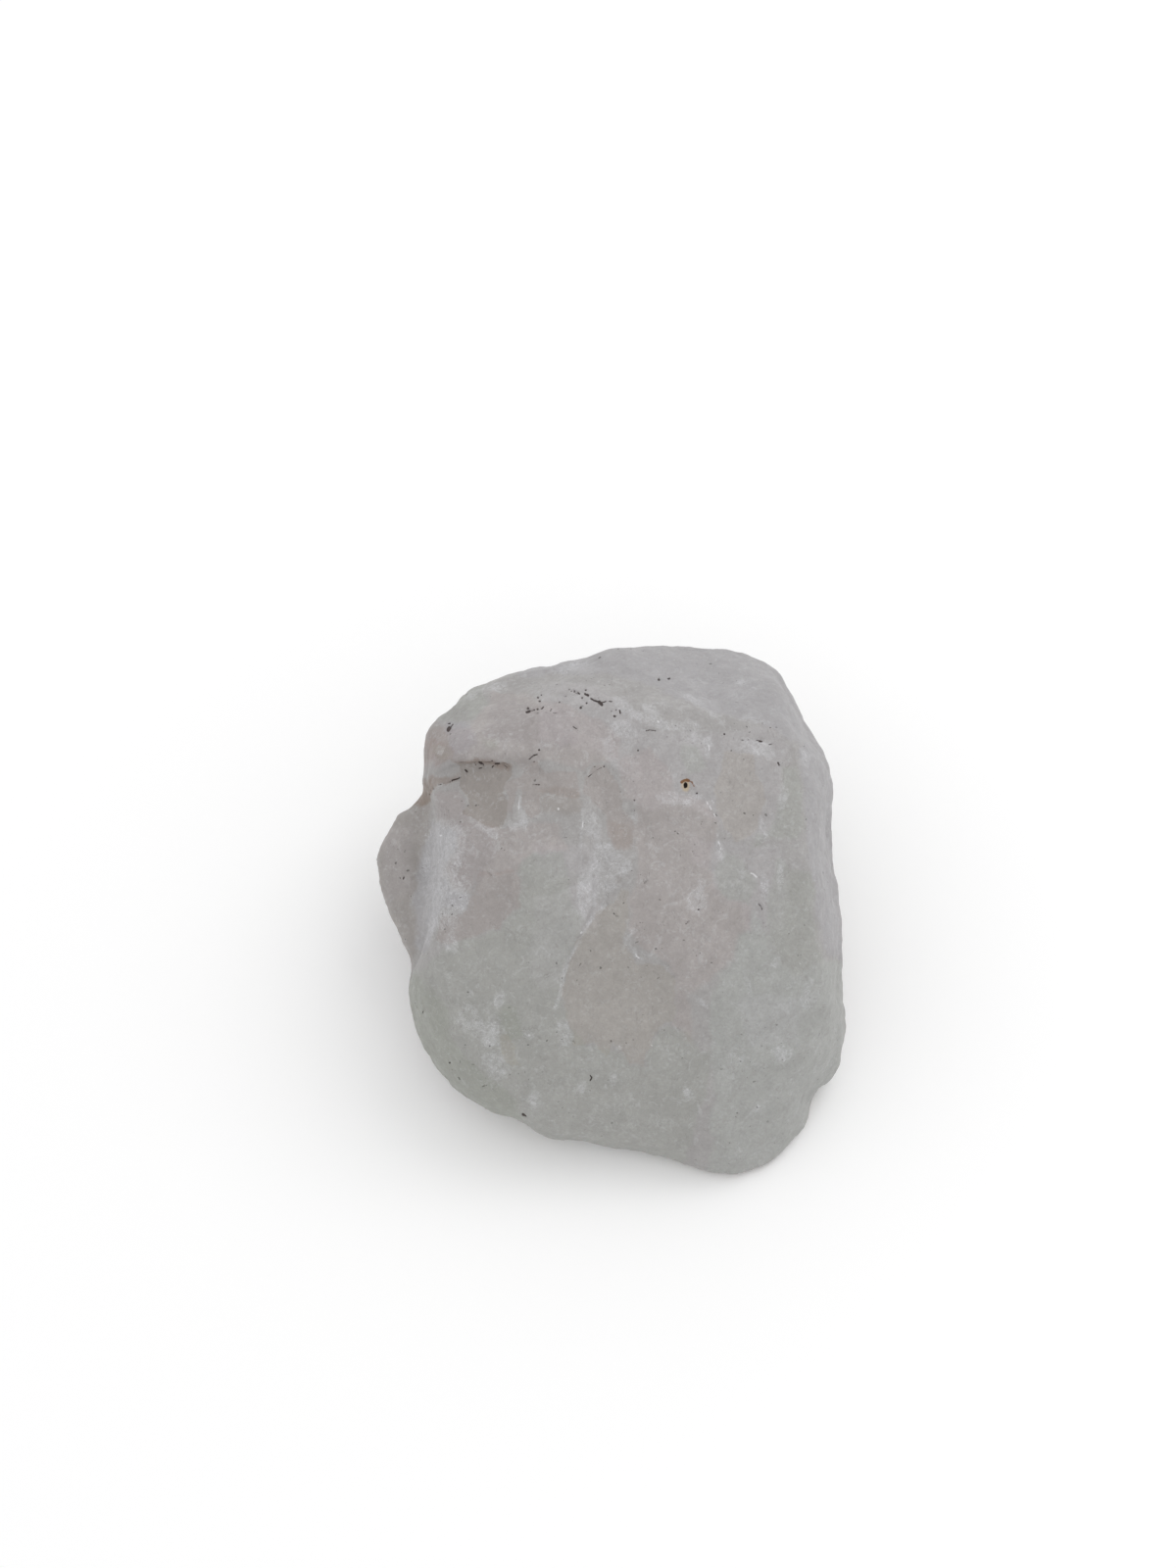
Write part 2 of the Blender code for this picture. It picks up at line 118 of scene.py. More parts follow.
# Sharp dark marks of the broad face, cracks, scratches and specks: (path, half width in mm, strength)
DARK_MARKS = [
    # the notch and the lip of the left ledge
    ([(-18.3, 12.9), (-17.7, 13.1)], 0.04, 0.75), ([(-17.4, 13.15), (-16.9, 13.3)], 0.04, 0.8),
    ([(-16.85, 13.4), (-16.4, 13.5), (-16.1, 13.65)], 0.06, 1.1),
    ([(-19.4, 12.6), (-19.0, 12.2)], 0.07, 0.7), ([(-19.3, 11.9), (-19.1, 11.7)], 0.07, 0.7),
    ([(-18.9, 12.6), (-18.6, 12.4)], 0.06, 0.7), ([(-15.6, 14.35), (-15.4, 14.2)], 0.08, 1.0),
    ([(-16.6, 15.2), (-15.4, 15.2)], 0.07, 0.62), ([(-13.6, 15.2), (-12.4, 15.3)], 0.08, 0.62),
    ([(-12.0, 15.2), (-11.2, 14.9), (-11.0, 14.5)], 0.07, 0.62),
    ([(-15.0, 15.1), (-14.5, 15.2)], 0.07, 0.66), ([(-14.1, 15.1), (-13.95, 15.0)], 0.12, 1.2),
    ([(-14.6, 15.0), (-14.45, 14.75)], 0.06, 0.8), ([(-14.2, 14.5), (-13.85, 14.55)], 0.06, 0.8),
    ([(-13.7, 14.9), (-13.75, 14.75)], 0.05, 0.8), ([(-12.85, 14.6), (-12.7, 14.75)], 0.07, 0.9),
    ([(-12.5, 14.95), (-12.1, 15.0)], 0.08, 1.0), ([(-12.8, 15.35)], 0.10, 0.8),
    ([(-11.7, 14.9), (-11.3, 14.7)], 0.07, 0.7),
    ([(-9.0, 15.5), (-8.5, 15.9), (-8.2, 16.0)], 0.09, 0.8), ([(-8.7, 13.0), (-8.0, 12.95)], 0.08, 0.8),
    # short scratches
    ([(-17.3, 18.55), (-17.15, 18.75)], 0.13, 1.3), ([(-17.05, 18.85), (-16.8, 19.1)], 0.06, 1.0),
    ([(-17.3, 19.15), (-17.05, 19.2)], 0.08, 0.8),
    ([(-4.55, 18.95), (-4.3, 18.75), (-4.15, 18.65)], 0.06, 0.9),
    ([(-5.6, 7.5), (-5.1, 7.5)], 0.06, 0.8), ([(-3.0, 13.7), (-2.3, 14.3), (-1.6, 14.7)], 0.06, 0.7),
    ([(2.9, 18.45), (3.3, 18.53), (3.9, 18.45)], 0.06, 0.8), ([(2.75, 2.85), (3.0, 3.1)], 0.05, 0.9),
    ([(-0.4, -0.2), (-0.1, -0.5), (0.15, -0.55)], 0.05, 0.85),
    ([(14.2, 17.55), (14.45, 17.45)], 0.05, 0.9), ([(14.5, 17.4), (14.75, 17.35)], 0.07, 1.2),
    ([(15.5, 17.05), (15.85, 17.1)], 0.05, 0.8), ([(12.6, 17.55), (12.9, 17.5)], 0.05, 0.7),
    ([(16.4, 15.2), (16.55, 14.95)], 0.09, 1.0), ([(19.3, 9.5), (19.3, 9.3)], 0.07, 0.7),
    ([(19.2, 8.5), (19.25, 8.3)], 0.07, 0.65), ([(14.4, 0.8), (14.65, 0.5), (14.75, 0.2)], 0.06, 0.9),
    ([(7.0, -1.3), (7.3, -1.0)], 0.08, 0.8),
    ([(-13.15, 3.95), (-12.95, 3.7), (-12.75, 3.6)], 0.05, 0.9),
    ([(-16.3, 1.3), (-15.9, 1.5)], 0.07, 0.6), ([(-21.9, 3.3), (-21.8, 3.55)], 0.09, 0.8),
    ([(-19.95, -10.45), (-19.8, -10.1)], 0.06, 0.8),
    ([(-2.8, -16.7), (-2.6, -17.0), (-2.8, -17.3)], 0.08, 0.8),
    ([(-13.8, -17.9), (-13.4, -17.8)], 0.08, 0.7), ([(-9.7, -20.75), (-9.4, -21.0)], 0.12, 0.9),
    ([(6.2, 6.5), (6.5, 6.0), (6.4, 5.6)], 0.07, 0.65),
    ([(7.6, 6.3), (7.9, 5.7), (8.4, 5.5)], 0.06, 0.65),
    ([(6.9, 7.6), (7.3, 7.2), (7.2, 6.8)], 0.06, 0.6), ([(8.9, 4.9), (9.3, 4.6)], 0.06, 0.6),
    ([(-8.9, 9.9), (-8.6, 9.5)], 0.06, 0.6), ([(-6.9, 9.3), (-6.7, 8.8)], 0.06, 0.6),
    # the cluster of specks on the left of the top ridge
    ([(-9.25, 20.42), (-9.05, 20.5)], 0.11, 1.4), ([(-9.17, 20.83)], 0.12, 1.1),
    ([(-8.54, 20.67)], 0.09, 1.0), ([(-8.75, 20.55)], 0.08, 0.9), ([(-8.19, 20.74)], 0.10, 1.0),
    ([(-7.75, 20.8), (-7.6, 20.95)], 0.08, 1.0), ([(-6.78, 20.7)], 0.09, 0.8),
    ([(-10.2, 20.55), (-9.95, 20.55)], 0.06, 0.6), ([(-8.12, 21.85)], 0.10, 0.9),
    ([(-7.97, 21.54)], 0.10, 1.0), ([(-7.79, 22.14)], 0.09, 0.8),
    ([(-8.4, 20.31), (-8.1, 20.25)], 0.07, 0.7), ([(-6.6, 20.3), (-6.2, 20.25)], 0.08, 0.7),
    ([(-7.4, 20.31), (-7.15, 20.28)], 0.07, 0.6), ([(-5.93, 21.37)], 0.09, 0.8),
    ([(-5.3, 21.95)], 0.09, 0.8), ([(-3.75, 20.8)], 0.11, 1.1),
    # the trail of specks that runs down the top ridge
    ([(-4.95, 22.73)], 0.09, 0.8), ([(-4.71, 22.55)], 0.09, 0.9),
    ([(-4.5, 22.65), (-4.1, 22.45), (-3.8, 22.2)], 0.06, 0.8),
    ([(-4.5, 22.5), (-4.2, 22.3), (-3.8, 22.15)], 0.06, 0.8), ([(-3.23, 22.62)], 0.10, 1.0),
    ([(-3.61, 21.82)], 0.10, 1.0), ([(-3.3, 22.2), (-2.98, 22.05)], 0.10, 1.1),
    ([(-2.7, 21.75), (-2.3, 21.55), (-2.0, 21.45)], 0.08, 1.0), ([(-2.35, 22.24)], 0.08, 0.6),
    ([(-1.95, 21.8)], 0.08, 0.7), ([(-1.85, 21.4), (-1.7, 21.25)], 0.12, 1.5),
    ([(-1.6, 21.12)], 0.10, 1.2), ([(-1.5, 21.4), (-1.2, 21.48)], 0.08, 1.0),
    ([(-0.95, 21.5), (-0.55, 21.47)], 0.06, 0.8), ([(-3.16, 21.3)], 0.10, 1.0),
    ([(-1.64, 20.97)], 0.08, 0.7), ([(-1.15, 20.7)], 0.07, 0.7), ([(-0.6, 20.48)], 0.09, 0.8),
    ([(-0.15, 20.62)], 0.09, 0.8), ([(0.23, 20.6), (0.3, 20.3)], 0.08, 1.1),
    ([(-0.35, 19.97), (-0.2, 19.95)], 0.10, 1.0),
    # single specks
    ([(4.25, 23.75)], 0.17, 0.85), ([(5.25, 23.85)], 0.15, 0.85), ([(10.9, 18.1)], 0.09, 0.9),
    ([(15.6, 18.75)], 0.09, 0.7), ([(12.8, 18.3)], 0.06, 0.6), ([(13.0, 16.6)], 0.07, 0.7),
    ([(19.1, 16.9)], 0.07, 0.8), ([(19.2, 15.3)], 0.09, 0.7), ([(-8.0, 16.5)], 0.11, 1.0),
    ([(-10.9, 22.5)], 0.07, 0.5), ([(-1.35, 14.8)], 0.08, 1.0), ([(1.7, 11.35)], 0.08, 1.0),
    ([(1.7, 10.3)], 0.08, 0.9), ([(8.1, 12.06)], 0.09, 1.1), ([(2.1, 16.45)], 0.09, 0.9),
    ([(14.9, -1.2)], 0.09, 0.8), ([(8.3, 0.2)], 0.08, 1.0), ([(-22.2, 3.4)], 0.09, 0.8),
    ([(-20.9, 3.5)], 0.09, 0.7), ([(-17.2, -15.5)], 0.09, 0.9), ([(6.6, -15.0)], 0.07, 0.8),
    ([(-20.5, -12.1)], 0.07, 0.7), ([(-18.6, -12.3)], 0.07, 0.6), ([(13.1, 10.1)], 0.08, 0.6),
    ([(5.0, -8.0)], 0.07, 0.6), ([(13.9, 15.0)], 0.08, 0.6), ([(10.3, 5.0)], 0.09, 0.6),
    ([(2.0, 5.5)], 0.07, 0.5),
]
# Glints, where a tiny crack or chip catches the light, in the same form
GLINTS = [
    ([(9.1, 11.2), (9.25, 10.9)], 0.06, 1.0), ([(9.4, 10.75), (9.6, 10.35)], 0.06, 1.0),
    ([(9.85, 9.95), (10.05, 9.55)], 0.06, 1.0), ([(9.6, 11.4), (9.8, 11.1)], 0.06, 0.9),
    ([(1.85, -4.35), (1.95, -4.6), (2.2, -4.8)], 0.09, 0.9), ([(-3.5, 9.3), (-3.55, 8.6)], 0.07, 0.8),
    ([(-5.2, -5.2), (-5.4, -5.9)], 0.06, 0.7), ([(9.3, 17.0), (9.35, 16.4)], 0.08, 0.9),
    ([(4.1, 19.4), (4.2, 19.3)], 0.09, 0.9), ([(10.3, 7.1), (10.6, 6.5), (10.4, 6.0)], 0.14, 0.7),
    ([(13.6, 3.9), (13.9, 3.8), (14.2, 3.5)], 0.08, 1.0), ([(8.2, -9.0), (9.2, -9.9)], 0.08, 0.6),
    ([(-3.65, -2.15), (-3.68, -2.2)], 0.11, 1.3),
    ([(-10.0, 11.4), (-10.1, 10.8), (-10.0, 10.1)], 0.08, 0.7),
    ([(-6.05, 10.5), (-6.0, 10.4)], 0.09, 1.1), ([(-18.06, 7.75)], 0.09, 1.1),
    ([(-17.5, 22.1), (-17.3, 22.0)], 0.09, 0.9), ([(-15.5, 23.1), (-14.9, 23.3)], 0.06, 0.6),
    ([(-16.3, 5.0), (-15.9, 4.7)], 0.10, 0.6), ([(17.9, 0.8), (18.0, 0.7)], 0.08, 0.7),
    ([(18.6, -5.3), (18.7, -5.4)], 0.08, 0.8), ([(3.4, -13.6), (3.5, -13.7)], 0.11, 0.7),
    ([(-9.1, -12.6), (-9.0, -12.7)], 0.12, 0.7), ([(-0.1, 19.1), (1.2, 18.6), (2.4, 18.4)], 0.07, 0.55),
    ([(-1.2, 20.1), (-0.4, 19.6)], 0.07, 0.5), ([(11.0, 3.0), (11.1, 2.2)], 0.07, 0.5),
    ([(8.2, 1.2), (8.7, 0.6)], 0.09, 0.6), ([(16.7, 2.6), (16.7, 1.4)], 0.07, 0.5),
    ([(15.7, 6.8), (15.6, 5.8)], 0.06, 0.45), ([(-14.4, -12.6), (-13.6, -12.9)], 0.09, 0.5),
]
# The rust spot: a pit, a dark arc over it, and a fainter rim that runs on from the arc
RUST_PIT = (6.97, 12.92)
RUST_ARC = [(6.55, 13.2), (6.8, 13.42), (7.1, 13.45), (7.3, 13.38)]
RUST_RIM = [(7.3, 13.4), (7.6, 13.2), (7.83, 12.76)]
RUST_REACH = 0.5  # half the width that the rust spot takes up round its arc and rim, in mm

SAME_PLACE = 1e-6  # corners of the CAD stone this close together are one, in m
SKIN_GRAIN = 0.00049  # the skin's quads, in m: halved on the broad face and again under its marks
ROUNDING = 2  # times that the CAD stone's corners are rounded off
SKIN_SMOOTHING = 4  # times that the even skin is smoothed
FACE_SMOOTHING = 3  # times that it is smoothed again, once the broad face is finer
SMOOTHING_STRENGTH = 0.5
FINE_MARGIN = 0.15  # how far round a sharp mark the skin is made finer, in mm
FACE_LOOKS_UP = 0.22  # the squareness from which a spot belongs to the broad face
MARKS_LOOK_UP = 0.15  # the squareness from which a spot can carry a sharp mark


def made_finer(skin, wanted):
    """Cuts the skin's faces in four where wanted(middles, normals) holds."""
    skin.faces.ensure_lookup_table()
    skin.normal_update()
    middles = np.array([f.calc_center_median() for f in skin.faces])
    chosen = np.flatnonzero(wanted(seen(middles), np.array([f.normal for f in skin.faces])))
    edges = {e for i in chosen for e in skin.faces[i].edges}
    bmesh.ops.subdivide_edges(skin, edges=list(edges), cuts=1, use_grid_fill=True)


def on_face(middles, normals):
    """Which faces of the skin belong to the broad face."""
    return squareness(normals) > FACE_LOOKS_UP


def on_marks(middles, normals):
    """Which faces of the skin lie under a sharp mark or the rust spot."""
    place = face_on(middles)
    near_one = np.zeros(len(place), bool)
    for path, width, _ in DARK_MARKS + GLINTS + [(RUST_ARC + RUST_RIM, RUST_REACH, 1)]:
        reach = width + FINE_MARGIN
        close = np.flatnonzero(around(place, path, reach))
        near_one[close] |= beside(place[close], path)[0] < reach
    return near_one & (squareness(normals) > MARKS_LOOK_UP)


def stone_skin():
    """A closed skin over the CAD stone, fine on the broad face and finest under its sharp marks."""
    rough = bmesh.new()
    rough.from_mesh(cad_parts["quartz_crystal"].data)
    bmesh.ops.remove_doubles(rough, verts=rough.verts, dist=SAME_PLACE)
    mesh = bpy.data.meshes.new("quartz_rough")
    rough.to_mesh(mesh)
    rough.free()
    mesh.materials.clear()
    blank = bpy.data.objects.new("quartz_rough", mesh)
    bpy.context.scene.collection.objects.link(blank)
    round_off = blank.modifiers.new("round_off", "SUBSURF")
    round_off.levels = round_off.render_levels = ROUNDING
    even = blank.modifiers.new("even_grain", "REMESH")
    even.mode = "VOXEL"
    even.voxel_size = SKIN_GRAIN
    smooth = blank.modifiers.new("worn", "SMOOTH")
    smooth.factor = SMOOTHING_STRENGTH
    smooth.iterations = SKIN_SMOOTHING
    graph = bpy.context.evaluated_depsgraph_get()
    skin = bpy.data.meshes.new_from_object(blank.evaluated_get(graph))
    bpy.data.objects.remove(blank, do_unlink=True)
    bpy.data.meshes.remove(mesh)
    skin.name = "quartz"
    fine = bmesh.new()
    fine.from_mesh(skin)
    made_finer(fine, on_face)
    every_way = {"use_axis_x": True, "use_axis_y": True, "use_axis_z": True}
    for _ in range(FACE_SMOOTHING):
        bmesh.ops.smooth_vert(fine, verts=fine.verts, factor=SMOOTHING_STRENGTH, **every_way)
    made_finer(fine, on_marks)
    fine.to_mesh(skin)
    fine.free()
    return skin


def vertex_places(mesh):
    """The places of a mesh's corners, in m."""
    places = np.empty(len(mesh.vertices) * 3)
    mesh.vertices.foreach_get("co", places)
    return places.reshape(-1, 3)


def vertex_normals(mesh):
    """The directions that a mesh's corners face."""
    normals = np.empty(len(mesh.vertices) * 3)
    mesh.vertex_normals.foreach_get("vector", normals)
    return normals.reshape(-1, 3)


LOOKS_AWAY, LOOKS_UP = -0.12, 0.08  # squarenesses: what is drawn fades out from the second to the first
LUMP, WISP, CRUMB, PORE = 3.0, 2.2, 0.9, 0.55  # sizes of the stone's unevenness, in mm

skin = stone_skin()
points = seen(vertex_places(skin))
normals = vertex_normals(skin)
facing = fade(squareness(normals), LOOKS_AWAY, LOOKS_UP)
hidden = 1 - facing
place = face_on(points)

wisps = rolling(points, WISP, 2)
crumbs = rolling(points, CRUMB, 3)
ragged_edge = 0.6 * rolling(points, LUMP, 4) + 0.4 * wisps + 0.2 * crumbs

# How far the edges of patches wander off their drawn outlines, in mm
WISP_WANDER, CRUMB_WANDER = 0.45, 0.22
wander = WISP_WANDER * np.stack([wisps, rolling(points, WISP, 7)], axis=1)
wander += CRUMB_WANDER * np.stack([crumbs, rolling(points, CRUMB, 8)], axis=1)


def nearness(marks, spread=2.5):
    """The strength of each mark on its middle line, falling to 0 at spread half-widths from it."""
    nearest = np.zeros(len(place))
    for path, width, strength in marks:
        reach = spread * width
        close = np.flatnonzero((facing > 0) & around(place, path, reach))
        field = strength * np.clip(1 - beside(place[close], path)[0] / reach, 0, 1)
        nearest[close] = np.maximum(nearest[close], field)
    return nearest * facing


def blot(across, up, half_across, half_up, lean, ragged=0.35):
    """A soft blot of the stone: 1 in its middle, a half at its ragged edge and 0 well outside."""
    turn = math.radians(lean)
    x, y = place[:, 0] - across, place[:, 1] - up
    x, y = x * math.cos(turn) + y * math.sin(turn), y * math.cos(turn) - x * math.sin(turn)
    distance = np.hypot(x / half_across, y / half_up) + ragged * ragged_edge
    return np.clip(1.5 - distance, 0, 1) * facing


def patch(outline, soft=0.5, margin=2.0):
    """A patch of the stone with a drawn outline: 1 inside, a half on the outline and 0 outside."""
    corners = np.array(outline, float)
    close = np.flatnonzero((facing > 0) & around(place, outline, margin))
    spots = place[close] + wander[close]
    crossings = np.zeros(len(spots), int)
    for (x0, y0), (x1, y1) in zip(corners, np.roll(corners, -1, axis=0)):
        if y0 != y1:
            crosses = (spots[:, 1] > y0) != (spots[:, 1] > y1)
            crossings += crosses & (spots[:, 0] < x0 + (spots[:, 1] - y0) * (x1 - x0) / (y1 - y0))
    inward = beside(spots, [*outline, outline[0]])[0] * np.where(crossings % 2 == 1, 1, -1)
    share = np.zeros(len(place))
    share[close] = np.clip(0.5 + 0.5 * inward / soft, 0, 1)
    return share * facing


def patches(outlines):
    """All the patches of a list together."""
    return np.max([patch(outline) for outline in outlines], axis=0)


# Veils of the broad face, as blots: (across, up, half across, half up, lean, strength)
VEILS = [
    (-18.0, 3.4, 2.0, 5.4, 4, 0.9), (-16.6, 7.2, 1.8, 2.2, 0, 0.8), (-16.0, 1.6, 0.8, 1.4, 30, 0.7),
    (-19.2, -2.4, 0.7, 1.6, 0, 0.5), (-15.4, -11.0, 1.4, 1.8, 0, 0.6), (-13.2, -12.3, 1.2, 1.3, 0, 1.0),
    (-12.0, -9.0, 0.6, 1.1, -15, 0.9), (-12.6, -15.6, 1.4, 1.8, 15, 0.7),
    (-5.4, -12.5, 0.9, 1.3, 0, 0.9), (-9.1, -12.6, 0.6, 0.5, 0, 0.9), (-8.4, -19.2, 0.9, 1.5, 0, 0.6),
    (-17.0, -3.6, 0.7, 0.9, 20, 0.8), (-1.6, 3.4, 2.0, 2.6, 0, 0.8), (-0.4, 6.2, 1.5, 1.4, 30, 0.65),
    (-2.6, 8.6, 0.9, 2.0, 15, 0.65), (0.8, 4.6, 1.0, 0.8, 0, 0.8), (-3.4, 1.2, 0.9, 2.6, -15, 0.7),
    (8.2, 1.0, 0.9, 1.2, 10, 1.1), (8.6, 2.8, 0.5, 0.7, 0, 0.7), (10.5, 6.2, 0.5, 1.2, 10, 1.0),
    (15.0, 2.6, 0.5, 2.0, 5, 0.9), (16.6, 3.4, 0.4, 1.8, 0, 0.7), (14.9, 8.4, 0.4, 1.8, 15, 0.7),
    (16.9, 11.5, 0.5, 2.2, -8, 0.6), (4.2, -2.7, 0.35, 0.9, 20, 0.55), (16.8, -14.6, 1.1, 0.9, 0, 0.9),
    (8.4, -9.2, 0.9, 0.3, -40, 0.9), (16.2, -5.2, 0.6, 0.8, -30, 0.7), (9.0, 20.7, 3.8, 0.4, -36, 0.6),
    (12.6, 23.4, 0.6, 0.5, 0, 0.7), (2.4, 19.8, 2.4, 0.5, -20, 0.8), (3.2, 20.6, 1.2, 0.5, -30, 0.8),
    (6.6, 19.0, 2.6, 0.6, -4, 0.7), (9.2, 16.6, 0.35, 1.0, 0, 1.1), (8.6, 17.4, 1.6, 0.7, -10, 0.6),
    (-4.5, 25.0, 2.2, 0.6, 10, 0.8), (-12.4, 22.9, 1.6, 0.5, 15, 0.8), (-14.8, 22.2, 1.2, 0.5, 30, 0.6),
    (-0.8, 16.8, 0.9, 1.6, 0, 0.7), (14.6, 16.6, 1.8, 0.8, -20, 0.8), (19.2, 15.6, 0.8, 1.2, 0, 0.6),
    (0.6, 21.2, 1.4, 0.5, -35, 0.9), (14.6, 19.4, 1.6, 0.4, -10, 0.5), (-9.6, 9.2, 0.5, 1.6, 0, 0.7),
    (-10.6, 8.8, 0.8, 0.8, 0, 0.7), (-13.2, 8.2, 2.0, 0.5, -35, 0.8), (5.2, 11.6, 1.2, 0.8, 0, 0.8),
    (7.6, 11.4, 1.4, 0.5, 20, 0.8), (1.6, 9.4, 0.5, 1.6, -15, 0.7), (19.3, -8.6, 0.6, 1.6, 0, 0.7),
    (13.4, -8.0, 0.3, 1.0, 10, 0.6), (-3.6, -18.0, 0.8, 1.0, 0, 0.6), (-0.4, -17.2, 0.5, 0.8, -20, 0.8),
    (0.2, -13.9, 0.5, 0.4, 0, 0.8), (7.2, -18.6, 0.5, 1.2, 20, 0.7), (14.6, -20.0, 1.2, 1.0, 0, 0.6),
    (12.0, -15.0, 1.0, 1.6, 0, 0.5), (-18.0, 16.4, 0.5, 0.6, 0, 0.8), (-11.6, 17.0, 1.4, 0.8, -20, 0.5),
    (-6.4, 11.6, 1.6, 0.5, -10, 0.4), (-4.8, 10.2, 0.9, 0.5, 0, 0.2), (0.6, 18.7, 1.5, 0.9, -20, 0.7),
    (3.6, 6.6, 0.5, 2.0, 10, 0.4), (5.4, 3.4, 0.6, 1.8, 15, 0.4), (12.8, 4.2, 0.5, 1.2, 0, 0.5),
    (-7.2, 17.2, 1.6, 0.5, 15, 0.5),
]
# Soft pale lines, where a thin healed crack shows as a seam: (path, half width in mm, strength)
SEAMS = [
    ([(-1.2, 0.6), (-2.3, -0.4), (-3.2, -1.7), (-4.0, -3.4), (-4.9, -4.9), (-5.5, -6.6), (-5.8, -8.4),
      (-6.4, -9.8)], 0.17, 1.15),
    ([(-3.55, 10.4), (-3.5, 9.2), (-3.65, 8.2), (-3.8, 6.6)], 0.14, 1.0),
    ([(-9.95, 11.6), (-10.1, 10.8), (-10.05, 10.0)], 0.14, 0.9),
    ([(1.5, -2.0), (1.0, -2.9), (0.6, -3.9)], 0.16, 0.8),
    ([(1.7, -4.0), (1.9, -4.6), (2.4, -4.9)], 0.18, 1.0),
    ([(-2.9, 2.2), (-2.0, 0.7), (-1.2, 0.5)], 0.14, 0.8),
    ([(-17.7, -0.7), (-17.2, -1.6), (-16.8, -2.2)], 0.16, 0.8),
    ([(-15.9, 10.0), (-14.3, 9.2), (-12.9, 8.4), (-11.6, 8.7)], 0.16, 0.8),
    ([(-17.2, 5.4), (-16.0, 4.6), (-15.0, 5.0), (-13.8, 4.4)], 0.12, 0.7),
    ([(-16.4, 3.9), (-15.4, 3.3), (-14.9, 2.4)], 0.12, 0.7),
    ([(-15.4, 7.6), (-14.6, 6.4), (-14.0, 5.2)], 0.12, 0.7),
    ([(0.4, 21.4), (1.8, 20.4), (3.0, 19.8), (4.2, 19.5)], 0.14, 0.8),
    ([(3.2, 21.4), (5.2, 21.0), (7.0, 20.4)], 0.12, 0.6), ([(8.2, -9.0), (9.2, -9.9)], 0.14, 0.8),
    ([(13.0, -6.6), (13.5, -8.2)], 0.12, 0.8),
    ([(-18.9, 12.1), (-18.2, 12.9), (-16.6, 13.1)], 0.12, 0.6),
    ([(10.2, 8.0), (10.4, 6.8), (10.9, 6.4)], 0.14, 0.8),
]
# Patches of another tint, and patches of painted shade, each by the outlines of its places
LILAC = [
    [(-9.5, 24.0), (-2.5, 24.4), (2.5, 23.6), (6.0, 21.9), (9.5, 20.4), (12.5, 19.6), (16.0, 18.8),
     (18.5, 17.0), (22.0, 18.0), (20.0, 27.0), (8.0, 31.0), (-6.0, 28.0), (-12.0, 25.5)],
    [(18.6, 16.6), (19.0, 12.0), (19.4, 8.0), (20.0, 3.0), (20.4, -1.0), (21.3, -4.2), (26.0, -6.0),
     (26.0, 16.0), (21.0, 19.0)],
    [(-18.9, 9.3), (-17.9, 8.6), (-16.4, 8.0), (-16.3, 6.4), (-17.3, 5.2), (-17.6, 3.6), (-16.8, 2.2),
     (-15.2, 1.6), (-15.4, 0.6), (-17.8, 0.1), (-18.5, -2.0), (-19.3, -4.0), (-20.3, -4.2),
     (-20.7, -1.0), (-20.5, 3.0), (-19.9, 6.0)],
    [(-17.6, 18.6), (-16.6, 19.6), (-14.8, 18.8), (-14.6, 17.2), (-16.6, 16.0)],
]
GREEN = [
    [(-10.2, 4.0), (-8.6, 5.8), (-5.8, 6.1), (-5.0, 4.4), (-4.6, 1.6), (-3.4, -0.8), (-3.8, -2.6),
     (-5.2, -5.2), (-5.8, -8.6), (-5.0, -11.6), (-3.2, -13.6), (0.4, -14.6), (1.2, -15.8), (2.8, -15.8),
     (3.6, -13.2), (5.2, -12.0), (7.2, -12.2), (8.6, -14.4), (9.6, -14.2), (9.6, -16.0), (8.0, -22.0),
     (6.0, -28.0), (-10.0, -26.0), (-23.0, -18.0), (-24.0, -8.0), (-19.4, -5.4), (-17.6, -3.4),
     (-14.0, -2.5), (-11.8, -2.1), (-10.8, -0.4), (-10.1, 0.8)],
    [(-19.2, 20.4), (-16.5, 22.8), (-13.6, 23.4), (-13.4, 20.8), (-15.0, 19.4), (-17.8, 19.4)],
    [(-18.8, 16.8), (-17.2, 16.8), (-16.8, 15.6), (-18.2, 15.4)],
    [(-14.0, 17.4), (-12.2, 17.4), (-12.0, 16.4), (-13.6, 16.4)],
    [(16.8, 14.9), (18.4, 14.6), (19.1, 8.6), (18.6, 7.4), (16.4, 7.7), (14.3, 8.0), (13.6, 6.2),
     (14.8, 7.2), (16.2, 9.6), (16.9, 12.0)],
    [(16.2, 5.6), (17.6, 4.2), (19.8, 4.0), (20.2, -1.4), (21.0, -5.0), (18.0, -6.5), (15.6, -3.0),
     (15.4, 1.5)],
    [(9.9, 4.4), (11.2, 6.2), (13.2, 5.0), (14.3, 2.6), (13.4, 0.8), (10.6, 1.4)],
    [(6.4, 17.2), (8.4, 17.0), (8.8, 14.6), (7.2, 13.8), (6.6, 15.4)],
]
PALE = [
    [(13.8, 0.4), (15.0, -1.0), (15.6, -3.2), (18.0, -6.5), (21.2, -5.0), (26.0, -5.0), (26.0, -16.0),
     (22.0, -22.0), (17.5, -29.0), (9.0, -29.0), (9.8, -22.0), (9.8, -15.0), (9.2, -11.0), (9.8, -8.6),
     (10.6, -6.4), (12.2, -5.0), (12.2, -2.3), (13.7, -1.9)],
]
